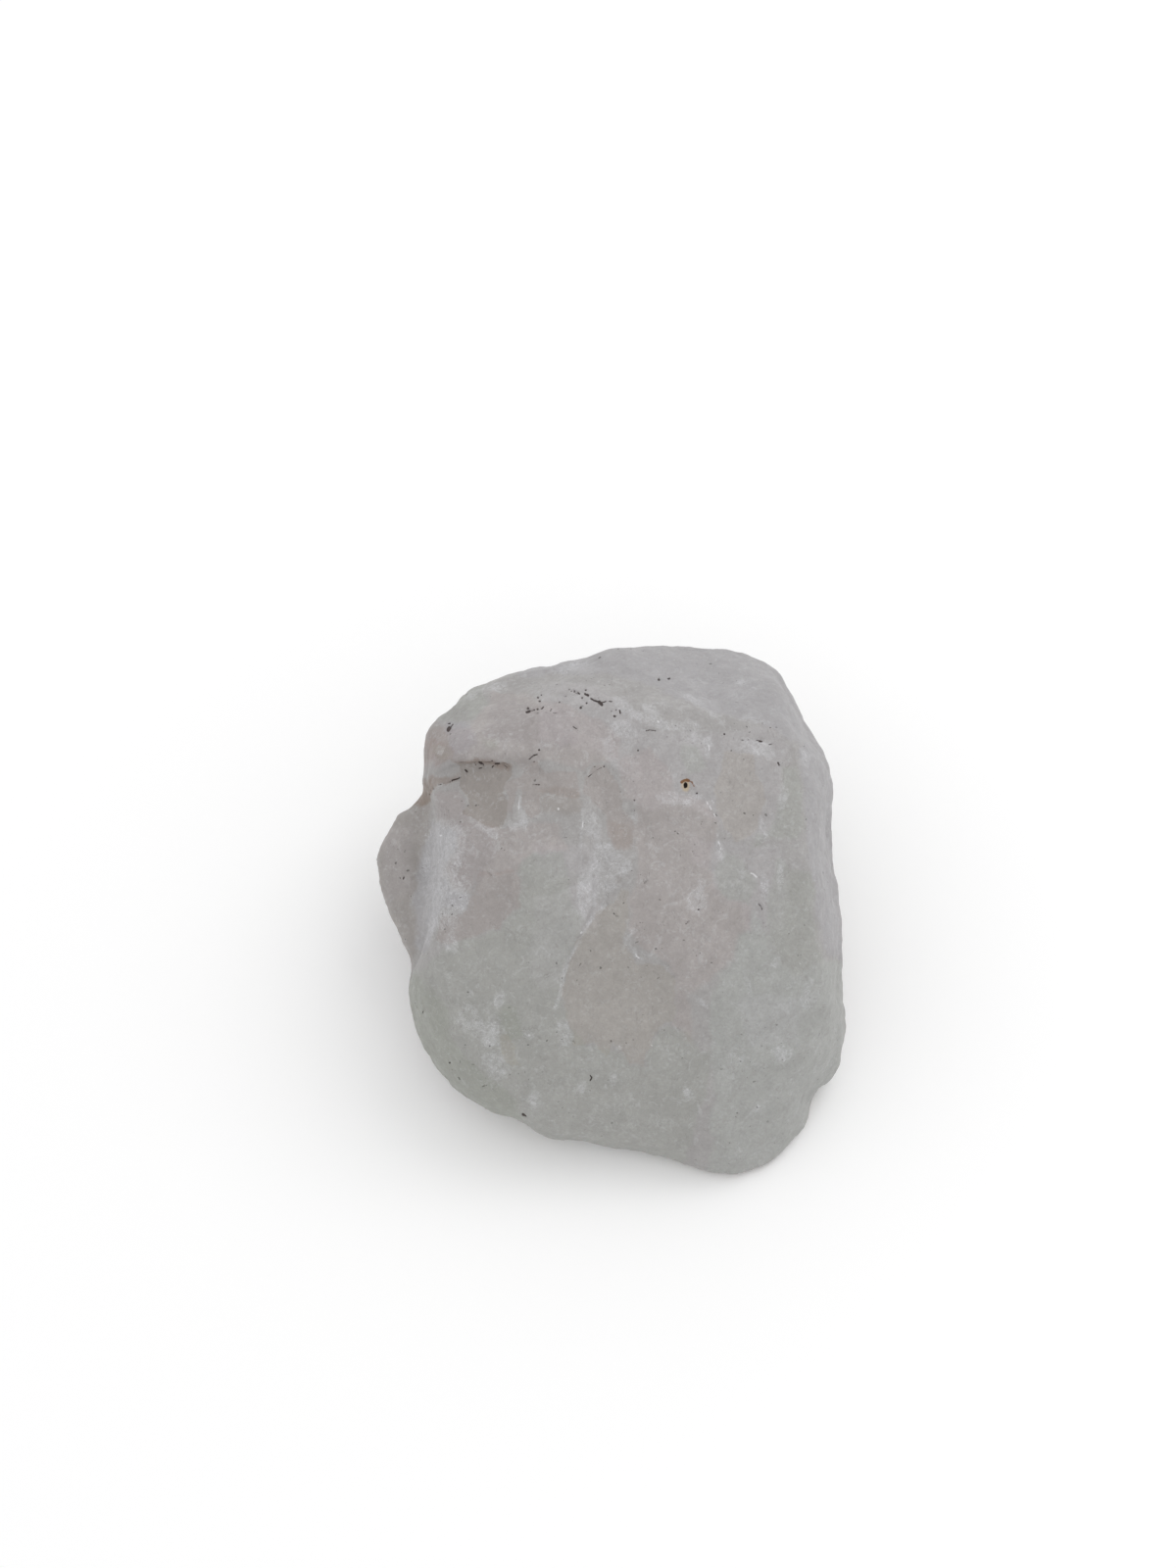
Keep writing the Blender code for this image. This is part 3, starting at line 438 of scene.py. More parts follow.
BRIGHT = [
    [(-1.6, 19.0), (0.0, 20.8), (3.4, 20.0), (3.6, 18.4), (9.0, 18.2), (16.0, 19.0), (17.6, 16.8),
     (16.8, 13.5), (16.6, 9.0), (15.0, 7.6), (12.0, 6.8), (9.8, 9.6), (6.2, 11.0), (3.4, 10.4),
     (1.0, 11.6), (0.6, 14.0), (-0.8, 15.6), (-2.0, 16.4)],
    [(-9.0, -6.5), (-8.6, -2.0), (-5.4, -0.6), (-3.4, -1.6), (-5.2, -4.8), (-5.9, -7.4), (-7.4, -8.4)],
    [(7.6, 7.6), (12.6, 7.0), (16.4, 6.6), (17.4, 3.4), (16.8, -2.0), (13.0, -2.2), (12.4, 0.6),
     (10.0, 1.4), (9.6, 3.8), (7.6, 5.0)],
    [(-8.6, 6.8), (-5.6, 7.0), (-2.6, 6.4), (-1.8, 4.4), (-3.4, 3.6), (-8.2, 4.2)],
    [(-8.6, 1.4), (-1.8, 3.4), (-2.0, -1.4), (-3.6, -2.4), (-8.0, -2.2)],
    [(-24.5, 9.0), (-21.0, 8.5), (-21.0, 2.4), (-23.6, 1.0)],
    [(12.6, -8.6), (19.0, -8.6), (18.6, -13.6), (13.0, -13.6)],
    [(-8.0, 23.0), (-4.0, 23.4), (1.0, 21.6), (0.8, 16.4), (-4.6, 16.6), (-8.0, 17.4)],
]
PINK = [
    [(2.0, 10.6), (5.5, 11.8), (8.6, 11.6), (10.2, 10.0), (9.8, 6.6), (9.3, 4.4), (10.2, 2.4),
     (11.3, 1.2), (13.6, 0.6), (13.6, -1.8), (12.0, -2.2), (12.0, -4.9), (10.5, -6.2), (8.6, -7.6),
     (7.0, -8.6), (7.4, -10.7), (7.8, -13.6), (7.0, -12.8), (6.6, -11.8), (5.6, -11.8), (6.0, -9.5),
     (5.8, -6.6), (4.6, -5.2), (2.5, -3.6), (1.2, -2.0), (1.3, 1.0), (2.1, 4.6), (1.9, 7.6)],
    [(-20.4, 18.3), (-19.4, 16.0), (-20.0, 14.2), (-17.0, 15.4), (-10.6, 15.2), (-9.4, 14.6),
     (-7.2, 15.6), (-3.4, 14.4), (-2.3, 15.2), (-0.8, 15.0), (0.2, 15.6), (0.4, 18.0), (-2.0, 19.6),
     (-6.0, 21.4), (-12.6, 22.6), (-13.6, 20.6), (-15.0, 18.6), (-17.4, 18.8)],
    [(-18.3, 12.2), (-16.2, 12.4), (-15.7, 10.4), (-14.3, 9.3), (-12.2, 8.6), (-10.4, 8.4), (-8.0, 9.0),
     (-5.8, 8.8), (-5.2, 6.4), (-8.4, 6.0), (-10.3, 4.0), (-12.4, 3.6), (-14.4, 3.9), (-15.2, 2.0),
     (-16.6, 2.4), (-17.5, 4.2), (-16.2, 6.4), (-16.5, 8.2), (-18.6, 9.6)],
    [(0.4, 15.6), (3.4, 16.8), (5.2, 14.6), (6.0, 11.6), (2.4, 10.4), (0.5, 11.6)],
]
BROWN = [
    [(0.3, 2.2), (1.2, 2.0), (1.1, -0.3), (1.0, -2.0), (0.4, -3.4), (1.9, -5.3), (3.4, -5.4),
     (4.6, -5.9), (5.8, -6.8), (5.9, -9.4), (5.7, -11.2), (5.0, -11.6), (3.6, -12.9), (3.2, -14.4),
     (2.5, -15.8), (1.0, -15.6), (0.3, -14.4), (-0.6, -13.6), (-1.0, -15.0), (-1.9, -14.3),
     (-2.4, -13.4), (-4.4, -13.4), (-4.6, -12.2), (-5.4, -10.6), (-5.6, -8.0), (-5.1, -5.4),
     (-4.2, -3.6), (-3.4, -2.2), (-2.4, -0.3), (-1.0, 0.3), (0.0, 0.6)],
    [(-12.3, -12.6), (-11.4, -12.0), (-10.4, -13.6), (-10.0, -15.8), (-11.2, -15.6)],
    [(11.0, 16.2), (12.8, 16.3), (13.9, 15.8), (14.0, 14.0), (14.9, 13.0), (15.2, 11.5), (14.3, 9.5),
     (14.0, 8.0), (12.2, 6.8), (10.9, 8.4), (10.4, 10.4), (9.9, 12.0), (10.2, 14.0)],
]
DROP = [
    (-3.4, 13.6), (-2.4, 14.8), (-1.3, 14.9), (-0.4, 14.0), (0.3, 12.6), (0.4, 10.6), (1.7, 9.2),
    (1.9, 7.6), (1.7, 6.4), (0.9, 5.9), (0.0, 6.2), (-0.5, 7.4), (-1.3, 9.8), (-2.4, 10.9), (-3.3, 12.0),
]
OLIVE = [
    DROP,
    [(-11.4, 13.2), (-9.6, 13.6), (-8.0, 12.4), (-7.6, 10.2), (-8.6, 9.6), (-9.4, 10.6), (-9.6, 12.2),
     (-10.4, 12.4), (-10.6, 10.0), (-11.4, 10.2)],
    [(-20.6, 17.4), (-18.6, 17.6), (-16.8, 16.6), (-16.6, 15.4), (-19.6, 15.0)],
    [(-9.3, 14.6), (-8.2, 15.4), (-7.2, 14.2), (-4.0, 14.2), (-3.7, 12.5), (-3.8, 11.4), (-5.5, 11.6),
     (-7.2, 12.2), (-9.8, 12.9)],
    [(-14.3, 4.2), (-12.3, 3.9), (-11.0, 4.3), (-10.2, 3.4), (-10.1, 0.6), (-10.8, -0.2), (-11.9, -1.9),
     (-14.0, -2.3), (-16.2, -3.1), (-18.4, -2.9), (-18.0, -1.2), (-17.5, -0.6), (-16.0, -0.3),
     (-15.2, 0.9), (-14.8, 2.2)],
]
# Taupe: a brownish darkening, partly the stone's own tone and partly a weaker painted shade, laid above
# all on the lobe that is set back on the left
TAUPE_AND_SHADE = [
    [(-8.0, 12.6), (-3.7, 12.4), (-3.6, 10.4), (-5.2, 9.8), (-7.6, 10.2)],
    [(-22.0, 19.6), (-18.8, 19.8), (-17.2, 18.0), (-17.4, 15.8), (-22.0, 14.8)],
    [(-19.2, 11.4), (-18.9, 9.8), (-19.6, 7.0), (-20.3, 4.5), (-20.8, 1.0), (-20.5, -2.0),
     (-20.5, -4.4), (-21.5, -6.0), (-28.0, -3.0), (-28.0, 9.0), (-22.0, 13.5)],
    [(-0.8, 9.2), (0.5, 9.2), (1.7, 8.4), (1.8, 6.8), (0.9, 6.0), (0.1, 6.4)],
]
# Painted shade: darker patches in the hollow under the overhanging lip of the left ledge and in the notch
# at its end
PAINTED_SHADE = [
    [(-16.2, 15.1), (-14.0, 15.3), (-12.0, 15.3), (-10.6, 15.0), (-10.7, 14.1), (-11.6, 13.2),
     (-11.5, 11.0), (-11.5, 9.6), (-12.2, 8.6), (-13.5, 8.7), (-14.3, 9.3), (-15.9, 10.1),
     (-15.4, 11.2), (-16.0, 13.0)],
    [(-19.8, 13.0), (-19.0, 13.4), (-18.6, 12.4), (-19.3, 11.4), (-20.4, 10.6), (-21.0, 11.4)],
]
MOSSY = [
    [(-24.0, -6.5), (-20.6, -6.8), (-18.6, -8.4), (-17.4, -10.6), (-16.2, -14.0), (-13.0, -17.4),
     (-10.5, -19.0), (-9.0, -24.0), (-14.0, -24.0), (-24.0, -17.0)],
    [(-12.0, -10.4), (-11.2, -9.6), (-10.0, -9.9), (-9.8, -12.6), (-11.6, -13.0)],
]
DUSKY = [
    [(-22.0, 19.0), (-18.0, 21.4), (-15.4, 20.4), (-14.6, 17.6), (-15.6, 15.2), (-18.6, 14.6),
     (-22.0, 13.0)],
    [(-18.3, 12.2), (-16.2, 12.6), (-15.6, 10.4), (-14.3, 9.3), (-13.0, 8.2), (-12.4, 5.6),
     (-13.4, 4.0), (-14.8, 2.2), (-16.4, 2.4), (-17.2, 4.4), (-16.0, 6.4), (-16.4, 8.2), (-18.6, 9.8)],
    [(-14.0, 17.8), (-6.0, 16.4), (-4.0, 17.2), (-5.0, 20.4), (-12.0, 21.8)],
]
STAINS = [
    [(-19.8, 13.6), (-18.6, 13.95), (-16.2, 13.85), (-16.3, 13.3), (-18.0, 13.15), (-18.6, 12.3),
     (-19.2, 11.5), (-20.2, 10.6), (-21.0, 11.2), (-20.4, 12.6)],
    [(-17.6, 15.35), (-15.6, 15.45), (-12.2, 15.45), (-10.8, 14.9), (-11.2, 14.5), (-13.0, 14.9),
     (-15.6, 14.9)],
]


def blots(marks, most=1.2):
    """All the blots of a list together."""
    return np.clip(sum(strength * blot(*shape) for *shape, strength in marks), 0, most)


PIT_NARROWNESS = 0.65  # the rust pit's width as a share of its height
SEAM_SHARE = 0.9  # how thick a seam is beside a veil
DROP_CLEARNESS = 0.8  # how much of any veil is missing in the clear drop
dark_mark = nearness(DARK_MARKS)
glint = nearness(GLINTS)
veil = np.maximum(blots(VEILS), SEAM_SHARE * nearness(SEAMS)) * (1 - DROP_CLEARNESS * patch(DROP))
pit_distance = np.hypot(place[:, 0] - RUST_PIT[0], PIT_NARROWNESS * (place[:, 1] - RUST_PIT[1]))
rust_arc = nearness([(RUST_ARC, 0.12, 1.0), (RUST_RIM, 0.09, 0.75)])

# Height of the worn surface over the CAD stone, in mm: wisps, crumbs and pores, the scars and chips
# of small shell-shaped breaks, which are shallower on the worn broad face, and the sharp marks
WISP_HEIGHT, CRUMB_HEIGHT, PORE_HEIGHT = 0.09, 0.045, 0.03
SCAR, SCAR_DEPTH, WORN_SCARS = 3.6, 0.12, 0.35
CHIP, CHIP_DEPTH, WORN_CHIPS, VEILED_CHIPS = 1.5, 0.07, 0.30, 0.45
MARK_DEPTH, GLINT_HEIGHT = 0.12, 0.05
MARK_EDGE, MARK_MIDDLE = 0.35, 0.8  # nearness at which a mark's relief begins, and where it is full
height = WISP_HEIGHT * wisps + CRUMB_HEIGHT * crumbs + PORE_HEIGHT * rolling(points, PORE, 6)
scars_left = WORN_SCARS + (1 - WORN_SCARS) * hidden
height -= SCAR_DEPTH * shells(points, SCAR, 1) * scars_left
chips_left = WORN_CHIPS + (1 - WORN_CHIPS) * hidden + VEILED_CHIPS * np.minimum(veil, 1)
height -= CHIP_DEPTH * shells(points, CHIP, 2) * chips_left
height -= MARK_DEPTH * fade(dark_mark, MARK_EDGE, MARK_MIDDLE)
height += GLINT_HEIGHT * fade(glint, MARK_EDGE, MARK_MIDDLE)

# Where the face turns away into the walls, its corner is nibbled.
BITE, BITE_HEIGHT = 2.6, 0.30
NIBBLE, NIBBLE_HEIGHT = 1.1, 0.12
corner = fade(squareness(normals), 0.45, 0.15) * fade(squareness(normals), -0.5, -0.2)
bitten = BITE_HEIGHT * rolling(points, BITE, 10) + NIBBLE_HEIGHT * rolling(points, NIBBLE, 16)
height += bitten * corner

# The shell-shaped break in the middle of the face has faint ripples round its own middle.
RIPPLE_MIDDLE = (11.5, -1.0)
RIPPLE_HEIGHT = 0.035
RIPPLE_TURNS = 5.5  # radians of the wave for each mm outwards
RIPPLE_UNREST = 1.2  # radians that the wisps push the wave back and forth
ripple_distance = np.hypot(place[:, 0] - RIPPLE_MIDDLE[0], place[:, 1] - RIPPLE_MIDDLE[1])
ripple_share = fade(ripple_distance, 7.5, 4.5) * fade(ripple_distance, 1.0, 3.0) * facing
height += RIPPLE_HEIGHT * np.sin(ripple_distance * RIPPLE_TURNS + RIPPLE_UNREST * wisps) * ripple_share

# The rust pit is a dimple with a tiny hole in it.
DIMPLE_DEPTH, HOLE_DEPTH = 0.15, 0.25
dimple = DIMPLE_DEPTH * fade(pit_distance, 0.8, 0.3)
height -= (dimple + HOLE_DEPTH * fade(pit_distance, 0.24, 0.10)) * facing

# The lip of the ledge on the left overhangs: its underside is cut in.
LIP = [(-19.3, 13.7), (-17.0, 14.9), (-14.0, 15.2), (-11.5, 15.1), (-10.4, 14.4)]
LIP_CUT, LIP_SWELL = 0.14, 0.06
_, along_lip, above_lip = beside(place, LIP)
lip_share = fade(along_lip, 0.0, 1.5) * fade(along_lip, 10.0, 8.0) * facing
height -= LIP_CUT * fade(-above_lip, -0.15, 0.15) * fade(-above_lip, 1.6, 0.3) * lip_share
height += LIP_SWELL * fade(above_lip, -0.1, 0.15) * fade(above_lip, 1.2, 0.2) * lip_share

# The scarp down the middle of the face is still sharp along its edge.
SCARP = [
    (-3.3, 10.0), (-2.8, 7.0), (-2.6, 3.5), (-2.5, 0.6), (-3.6, -2.1), (-5.0, -4.6), (-5.8, -8.0),
    (-6.0, -12.0),
]
SCARP_CREST, SCARP_FOOT = 0.07, 0.09
_, along_scarp, beside_scarp = beside(place, SCARP)
scarp_share = fade(along_scarp, 0.0, 3.0) * fade(along_scarp, 22.5, 18.0) * facing
height += SCARP_CREST * fade(-beside_scarp, -0.05, 0.15) * fade(-beside_scarp, 1.3, 0.2) * scarp_share
height -= SCARP_FOOT * fade(beside_scarp, -0.05, 0.15) * fade(beside_scarp, 1.6, 0.2) * scarp_share

# The flat foot is left alone, so that the stone still rests on it.
FOOT_LEVEL, ABOVE_FOOT = 0.0002, 0.0010  # in m
height *= fade(vertex_places(skin)[:, 2], FOOT_LEVEL, ABOVE_FOOT)
moved = vertex_places(skin) + normals * (height / MM_PER_M)[:, None]
skin.vertices.foreach_set("co", moved.ravel())
skin.update()
skin.shade_smooth()


def keep(name, values):
    """Stores a value for each vertex of the skin, for its material to read."""
    skin.attributes.new(name, "FLOAT", "POINT").data.foreach_set("value", values.astype(np.float32))


# The sides away from the broad face carry veils and tints too, in soft clouds, but no painted shade or
# stain.
VEIL_CLOUD, TINT_CLOUD = 6.0, 8.0  # in mm
FIRST_TINT_SEED = 20
DRAWN_TINTS = (
    ("lilac", LILAC), ("green", GREEN), ("pale", PALE), ("pink", PINK), ("brown", BROWN),
    ("taupe_and_shade", TAUPE_AND_SHADE), ("painted_shade", PAINTED_SHADE), ("mossy", MOSSY), ("dusky", DUSKY), ("bright", BRIGHT),
    ("olive", OLIVE), ("stain", STAINS),
)
ONLY_DRAWN = ("painted_shade", "stain")
keep("veil", veil + 0.8 * hidden * fade(rolling(points, VEIL_CLOUD, 9) + 0.4 * wisps, -0.1, 0.6))
for seed, (name, outlines) in enumerate(DRAWN_TINTS, start=FIRST_TINT_SEED):
    cloud = hidden * fade(rolling(points, TINT_CLOUD, seed) + 0.3 * wisps, 0.1, 0.5)
    keep(name, patches(outlines) + (0.0 if name in ONLY_DRAWN else cloud))
keep("dark_mark", dark_mark)
keep("glint", glint)
keep("rust_arc", rust_arc)
keep("rust_halo", fade(pit_distance, 0.75, 0.15) * facing)
keep("rust_core", fade(pit_distance, 0.30, 0.12) * facing)

milky = bpy.data.materials.new("milky_quartz")
milky.use_nodes = True
tree = milky.node_tree
shader = tree.nodes["Principled BSDF"]


def node(kind, **values):
    """A node of the quartz's material, with those of its properties and inputs set."""
    made = tree.nodes.new(kind)
    for key, value in values.items():
        if key in made.inputs:
            made.inputs[key].default_value = value
        else:
            setattr(made, key, value)
    return made


def math_of(operation, a, b):
    """A socket with a sum, product or the like of two sockets or numbers."""
    made = node("ShaderNodeMath", operation=operation)
    for socket, value in zip(made.inputs, (a, b)):
        if isinstance(value, (int, float)):
            socket.default_value = value
        else:
            tree.links.new(value, socket)
    return made.outputs[0]


def times(a, b):
    """A socket with the product of two sockets or numbers."""
    return math_of("MULTIPLY", a, b)


def climb(value, low, high, top=1.0):
    """0 below low, rising smoothly to top above high."""
    spread = node("ShaderNodeMapRange", interpolation_type="SMOOTHSTEP")
    tree.links.new(value, spread.inputs["Value"])
    spread.inputs["From Min"].default_value = low
    spread.inputs["From Max"].default_value = high
    spread.inputs["To Max"].default_value = top
    return spread.outputs["Result"]


# Streaks run up the broad face: their noise is drawn out along a line that leans as the face does.
FACE_LEAN = math.radians(30)
STREAK_SQUEEZE = 0.4
object_place = node("ShaderNodeTexCoord").outputs["Object"]
upright = node("ShaderNodeMapping")
upright.inputs["Rotation"].default_value = (FACE_LEAN, 0, 0)
upright.inputs["Scale"].default_value = (1, STREAK_SQUEEZE, 1)
tree.links.new(object_place, upright.inputs["Vector"])
upright_place = upright.outputs["Vector"]


def grain(size, detail=3, rough=0.6, place=object_place, swirl=0.0):
    """Noise round 0.5 with grains of that size in m."""
    made = node("ShaderNodeTexNoise", Scale=1 / size, Detail=detail, Roughness=rough, Distortion=swirl)
    tree.links.new(place, made.inputs["Vector"])
    return made.outputs["Fac"]


def kept(name, frayed=0.0, by=None):
    """A value kept on the skin, its edges frayed by some grain."""
    value = node("ShaderNodeAttribute", attribute_name=name).outputs["Fac"]
    if by is None:
        return value
    return math_of("ADD", value, times(math_of("SUBTRACT", by, 0.5), frayed))


def lines_in(noise_value, level=0.5):
    """0 along the thin winding lines where the noise crosses the level, and more beside them."""
    return math_of("ABSOLUTE", math_of("SUBTRACT", noise_value, level), 0)


def mixed(share, under, over, blend="MIX"):
    """The colour under, covered by or multiplied with the colour over in that share."""
    made = node("ShaderNodeMix", data_type="RGBA", blend_type=blend)
    first_colour, second_colour = made.inputs[6], made.inputs[7]
    for socket, value in ((made.inputs["Factor"], share), (first_colour, under), (second_colour, over)):
        if isinstance(value, tuple):
            socket.default_value = (*value, 1)
        else:
            tree.links.new(value, socket)
    mixed_colour = made.outputs[2]
    return mixed_colour


coarse = grain(0.0030, 5)
middling = grain(0.0010, 4, 0.65, swirl=0.6)
fine = grain(0.00040, 3, 0.65)
finest = grain(0.00022, 2, 0.6)

# The milky stone itself, in two shades, and its tints, which multiply it: (name, tint, half the
# width of its soft edge)
MILKY = (0.383, 0.371, 0.366)
MILKIER = (0.412, 0.401, 0.397)
TINTS = (
    ("green", (0.957, 0.986, 0.951), 0.30),
    ("pale", (1.018, 1.058, 1.036), 0.40),
    ("pink", (1.025, 0.982, 0.972), 0.30),
    ("lilac", (1.015, 1.020, 1.055), 0.25),
    ("brown", (0.988, 0.964, 0.921), 0.12),
    # partly brownish tone, partly a weaker painted shade, above all on the set-back lobe
    ("taupe_and_shade", (0.935, 0.905, 0.880), 0.35),
    # painted shade in the hollow under the ledge's lip and in the notch
    ("painted_shade", (0.840, 0.795, 0.755), 0.12),
    ("mossy", (0.925, 0.945, 0.905), 0.40),
    ("dusky", (0.925, 0.920, 0.930), 0.40),
    ("bright", (1.080, 1.075, 1.095), 0.40),
    ("olive", (0.957, 0.913, 0.897), 0.12),
)
stone = mixed(climb(coarse, 0.42, 0.62, 0.5), MILKY, MILKIER)
for name, tint, edge in TINTS:
    share = climb(kept(name, 0.5, middling), 0.5 - edge, 0.5 + edge)
    stone = mixed(share, stone, tint, "MULTIPLY")

# The interlocked grains of the stone, each a little lighter or darker: (size in m, half the change)
MOSAIC = ((0.0022, 0.035), (0.0008, 0.040), (0.00035, 0.045))
WOBBLE = 0.0012  # how far the borders of the grains wind, and the size of their turns, in m
wobble = node("ShaderNodeTexNoise", Scale=1 / WOBBLE, Detail=3)
tree.links.new(object_place, wobble.inputs["Vector"])
bent = node("ShaderNodeVectorMath", operation="MULTIPLY_ADD")
tree.links.new(wobble.outputs["Color"], bent.inputs[0])
bent.inputs[1].default_value = (WOBBLE, WOBBLE, WOBBLE)
tree.links.new(object_place, bent.inputs[2])
for size, depth in MOSAIC:
    cells = node("ShaderNodeTexVoronoi", Scale=1 / size)
    tree.links.new(bent.outputs["Vector"], cells.inputs["Vector"])
    darkest = 1 - 2 * depth
    stone = mixed(cells.outputs["Color"], stone, (darkest, darkest, darkest), "MULTIPLY")

# Pale flakes, crumbs, threads and webs, thickest in the veils, and darker streaks, flecks, powder,
# hairs and specks where the stone is clearer
VEIL_WHITE = (0.50, 0.505, 0.53)
FLAKE_WHITE = (0.53, 0.53, 0.545)
STREAK_GREY = (0.27, 0.255, 0.243)
CRUMB_WHITE = (0.53, 0.53, 0.54)
FLECK_GREY = (0.225, 0.212, 0.202)
POWDER_GREY = (0.27, 0.26, 0.25)
THREAD_WHITE = (0.66, 0.66, 0.68)
WEB_WHITE = (0.62, 0.62, 0.64)
HAIR_BROWN = (0.16, 0.15, 0.14)
SPECK_BLACK = (0.07, 0.065, 0.06)
veiled = kept("veil", 1.3, middling)
clearest = math_of("MAXIMUM", kept("brown"), kept("olive"))
broken = math_of("ADD", climb(clearest, 0.7, 0.4, 0.6), 0.4)
calm = math_of("ADD", climb(kept("lilac"), 0.8, 0.3, 0.5), 0.5)
stone = mixed(climb(veiled, 0.35, 0.75, 0.11), stone, VEIL_WHITE)
flaky = math_of("ADD", grain(0.0012, 6, 0.75, swirl=1.2), times(kept("veil"), 0.10))
stone = mixed(times(climb(flaky, 0.565, 0.625, 0.27), broken), stone, FLAKE_WHITE)
streaky = grain(0.0014, 5, 0.70, upright_place, 0.8)
stone = mixed(times(climb(streaky, 0.57, 0.65, 0.22), calm), stone, STREAK_GREY)
crumbly = times(climb(fine, 0.55, 0.62, 0.22), climb(coarse, 0.40, 0.60))
stone = mixed(times(crumbly, calm), stone, CRUMB_WHITE)
flecked = climb(grain(0.0006, 5, 0.72, upright_place, 1.0), 0.57, 0.63, 0.38)
flecks = times(flecked, climb(middling, 0.60, 0.40))
stone = mixed(times(flecks, calm), stone, FLECK_GREY)
stone = mixed(climb(finest, 0.42, 0.68, 0.26), stone, POWDER_GREY)
thread = lines_in(grain(0.0016, 5, 0.65, swirl=1.2))
threads = times(climb(thread, 0.014, 0.003), climb(veiled, 0.30, 0.70))
stone = mixed(times(threads, 0.42), stone, THREAD_WHITE)
web = lines_in(grain(0.0009, 4, 0.6, swirl=1.6))
webs = times(climb(web, 0.022, 0.006), climb(veiled, 0.35, 0.75))
stone = mixed(times(webs, 0.30), stone, WEB_WHITE)
hair = lines_in(grain(0.0021, 3, 0.6, swirl=1.2), 0.47)
hairs = times(climb(hair, 0.006, 0.002), climb(grain(0.0035, 2), 0.56, 0.64))
stone = mixed(times(hairs, 0.38), stone, HAIR_BROWN)
specks = times(climb(grain(0.00055, 1), 0.72, 0.76), climb(grain(0.005, 2), 0.45, 0.60))
stone = mixed(times(specks, 0.7), stone, SPECK_BLACK)

# The marks that are kept on the skin
STAIN_BROWN = (0.205, 0.145, 0.112)
GLINT_WHITE = (0.80, 0.80, 0.82)
MARK_BLACK = (0.030, 0.017, 0.014)
RUST_OCHRE = (0.50, 0.36, 0.16)
RUST_BROWN = (0.15, 0.055, 0.010)
RUST_BLACK = (0.012, 0.006, 0.004)
stone = mixed(climb(kept("stain", 0.8, middling), 0.30, 0.75, 0.42), stone, STAIN_BROWN)
stone = mixed(climb(kept("glint", 0.9, middling), 0.48, 0.70, 0.50), stone, GLINT_WHITE)
stone = mixed(climb(kept("dark_mark", 0.7, fine), 0.50, 0.66, 0.92), stone, MARK_BLACK)
stone = mixed(climb(kept("rust_halo", 0.5, fine), 0.25, 0.85, 0.45), stone, RUST_OCHRE)
stone = mixed(climb(kept("rust_arc", 0.5, fine), 0.38, 0.65, 0.90), stone, RUST_BROWN)
stone = mixed(climb(kept("rust_core"), 0.3, 0.6), stone, RUST_BLACK)
tree.links.new(stone, shader.inputs["Base Color"])

# A waxy surface, a little duller in places, with dents and dimples finer than the skin's corners
WAXY, DULLER = 0.52, 0.15
DENT, DIMPLE, BUMP_STRENGTH = 0.00005, 0.00012, 0.6
roughness = math_of("ADD", climb(middling, 0.4, 0.65, DULLER), WAXY)
tree.links.new(roughness, shader.inputs["Roughness"])
dents = node("ShaderNodeBump", Strength=BUMP_STRENGTH, Distance=DENT)
tree.links.new(fine, dents.inputs["Height"])
dimples = node("ShaderNodeBump", Strength=BUMP_STRENGTH, Distance=DIMPLE)
tree.links.new(middling, dimples.inputs["Height"])
tree.links.new(dents.outputs["Normal"], dimples.inputs["Normal"])
tree.links.new(dimples.outputs["Normal"], shader.inputs["Normal"])

# Light enters the milky stone for about a millimetre.
QUARTZ_IOR = 1.54
GLOSS = 0.25
MILKINESS = 0.20
LIGHT_DEPTH = 0.0012  # in m, for red light, and a little less for green and blue
LIGHT_REACH = (1, 0.95, 0.9)
shader.inputs["IOR"].default_value = QUARTZ_IOR
shader.inputs["Specular IOR Level"].default_value = GLOSS
shader.inputs["Subsurface Weight"].default_value = MILKINESS
shader.inputs["Subsurface Radius"].default_value = LIGHT_REACH
shader.inputs["Subsurface Scale"].default_value = LIGHT_DEPTH
skin.materials.append(milky)

quartz = bpy.data.objects.new("quartz", skin)
bpy.context.scene.collection.objects.link(quartz)
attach(quartz, "root")
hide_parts("quartz_crystal")

# The floor and light
# A plain sheet of white paper that the stone lies on. The studio lights it softly from all round, and
# one square softbox, above the stone on the right, adds a little more.
PAPER_REACH = 1.5  # from the middle to the sheet's edges, in m
PAPER_WHITE = (0.95, 0.95, 0.95, 1)
STUDIO_LIGHT = 0.95
SOFTBOX_PLACE = (0.30, 0.25, 0.50)
SOFTBOX_SIZE = 0.4
SOFTBOX_WATTS = 0.75

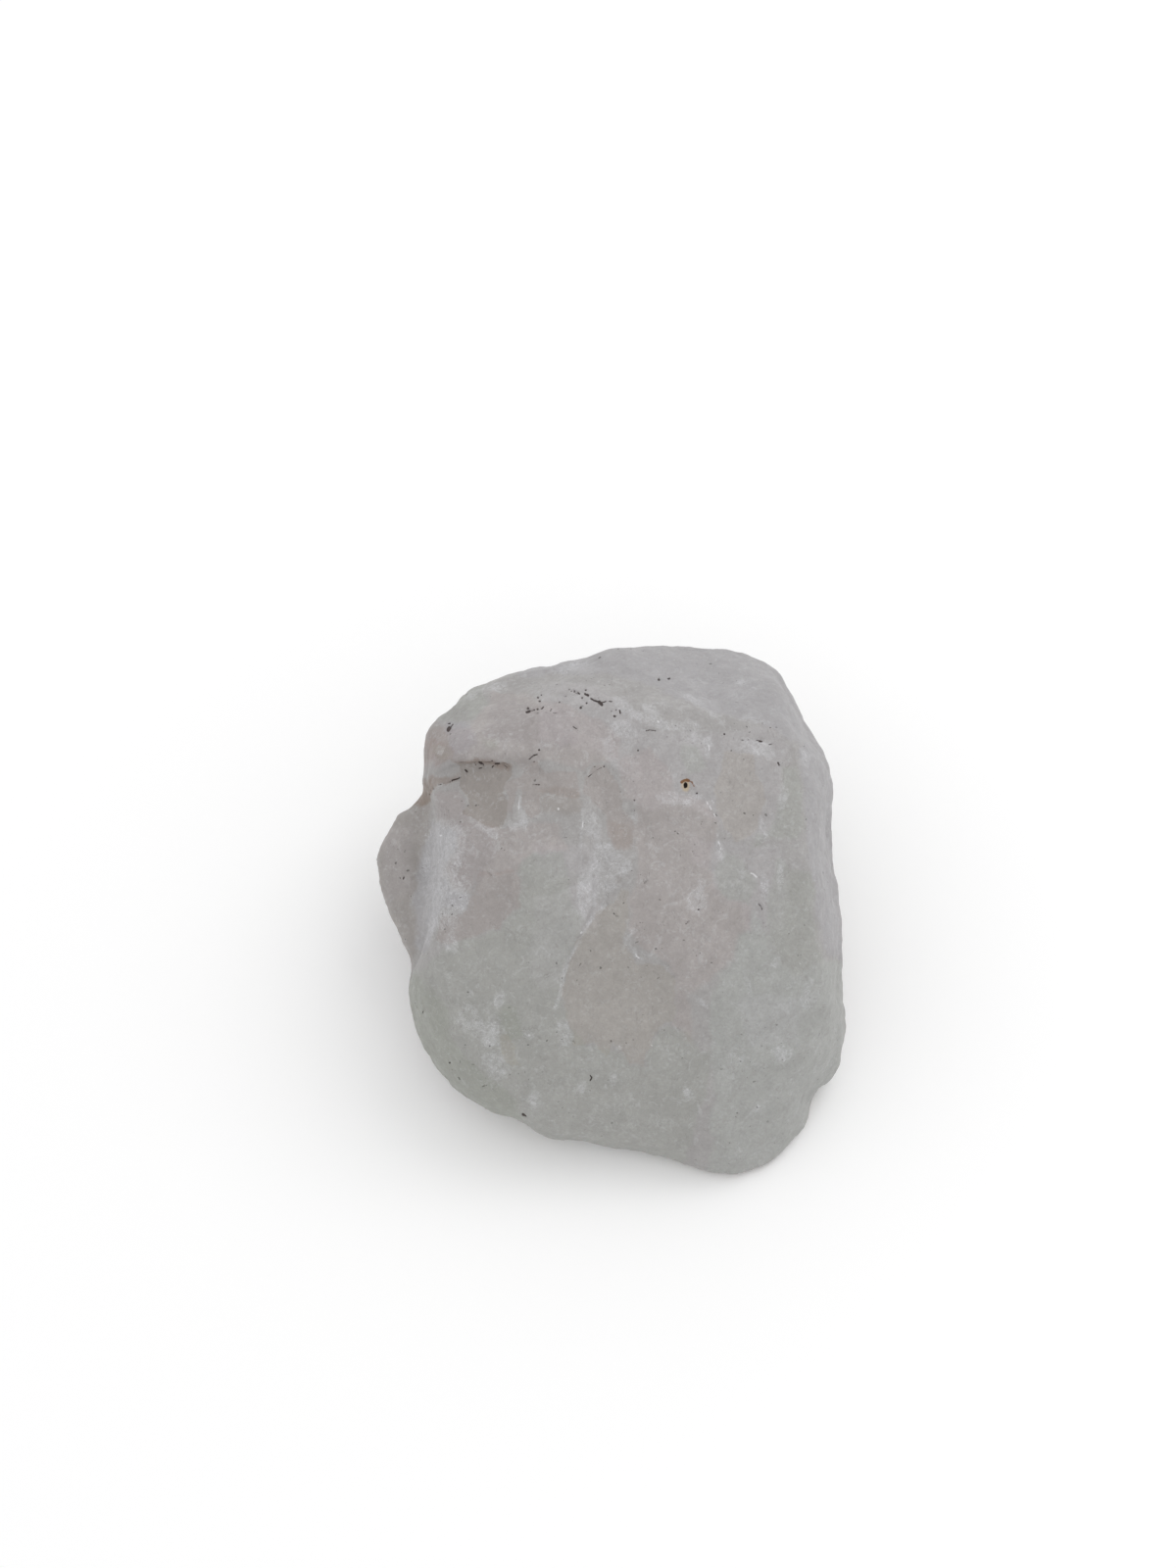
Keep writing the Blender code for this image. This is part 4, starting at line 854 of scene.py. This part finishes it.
floor_shape = bmesh.new()
bmesh.ops.create_grid(floor_shape, x_segments=1, y_segments=1, size=PAPER_REACH)
floor_mesh = bpy.data.meshes.new("floor")
floor_shape.to_mesh(floor_mesh)
floor_shape.free()
floor = bpy.data.objects.new("floor", floor_mesh)
bpy.context.scene.collection.objects.link(floor)
paper = bpy.data.materials.new("white_paper")
paper.use_nodes = True
paper_shader = paper.node_tree.nodes["Principled BSDF"]
paper_shader.inputs["Base Color"].default_value = PAPER_WHITE
paper_shader.inputs["Roughness"].default_value = 0.9
paper_shader.inputs["Specular IOR Level"].default_value = 0.1
floor_mesh.materials.append(paper)

world = bpy.data.worlds.new("studio")
bpy.context.scene.world = world
world.use_nodes = True
studio = world.node_tree.nodes["Background"]
studio.inputs["Color"].default_value = (1, 1, 1, 1)
studio.inputs["Strength"].default_value = STUDIO_LIGHT

lamp = bpy.data.lights.new("softbox_over", "AREA")
lamp.size = SOFTBOX_SIZE
lamp.energy = SOFTBOX_WATTS
softbox = bpy.data.objects.new("softbox_over", lamp)
bpy.context.scene.collection.objects.link(softbox)
softbox.location = SOFTBOX_PLACE
softbox.rotation_mode = "QUATERNION"
softbox.rotation_quaternion = (Vector(HEART) - Vector(SOFTBOX_PLACE)).to_track_quat("-Z", "Y")

# The camera
# It looks down at the broad face from the eye's place, with the stone's heart off the middle of the
# frame by a shift of the lens, and each mm of the stone ten pixels wide.
FRAME_WIDTH, FRAME_HEIGHT = 1200, 1600  # in pixels
HEART_PIXEL = (630, 930)
PIXELS_PER_MM = 10

sight = Vector((0, -math.cos(EYE_HEIGHT), math.sin(EYE_HEIGHT)))
lens = bpy.data.cameras.new("camera")
lens.sensor_width = 36
lens.lens = lens.sensor_width * EYE_DISTANCE * PIXELS_PER_MM / FRAME_HEIGHT
lens.shift_x = (FRAME_WIDTH / 2 - HEART_PIXEL[0]) / FRAME_HEIGHT
lens.shift_y = (HEART_PIXEL[1] - FRAME_HEIGHT / 2) / FRAME_HEIGHT
lens.clip_start = 0.01
camera = bpy.data.objects.new("camera", lens)
bpy.context.scene.collection.objects.link(camera)
camera.location = Vector(HEART) + sight * EYE_DISTANCE / MM_PER_M
camera.rotation_mode = "QUATERNION"
camera.rotation_quaternion = (-sight).to_track_quat("-Z", "Y")
bpy.context.scene.camera = camera
bpy.context.scene.view_settings.view_transform = "Standard"

bpy.context.view_layer.update()
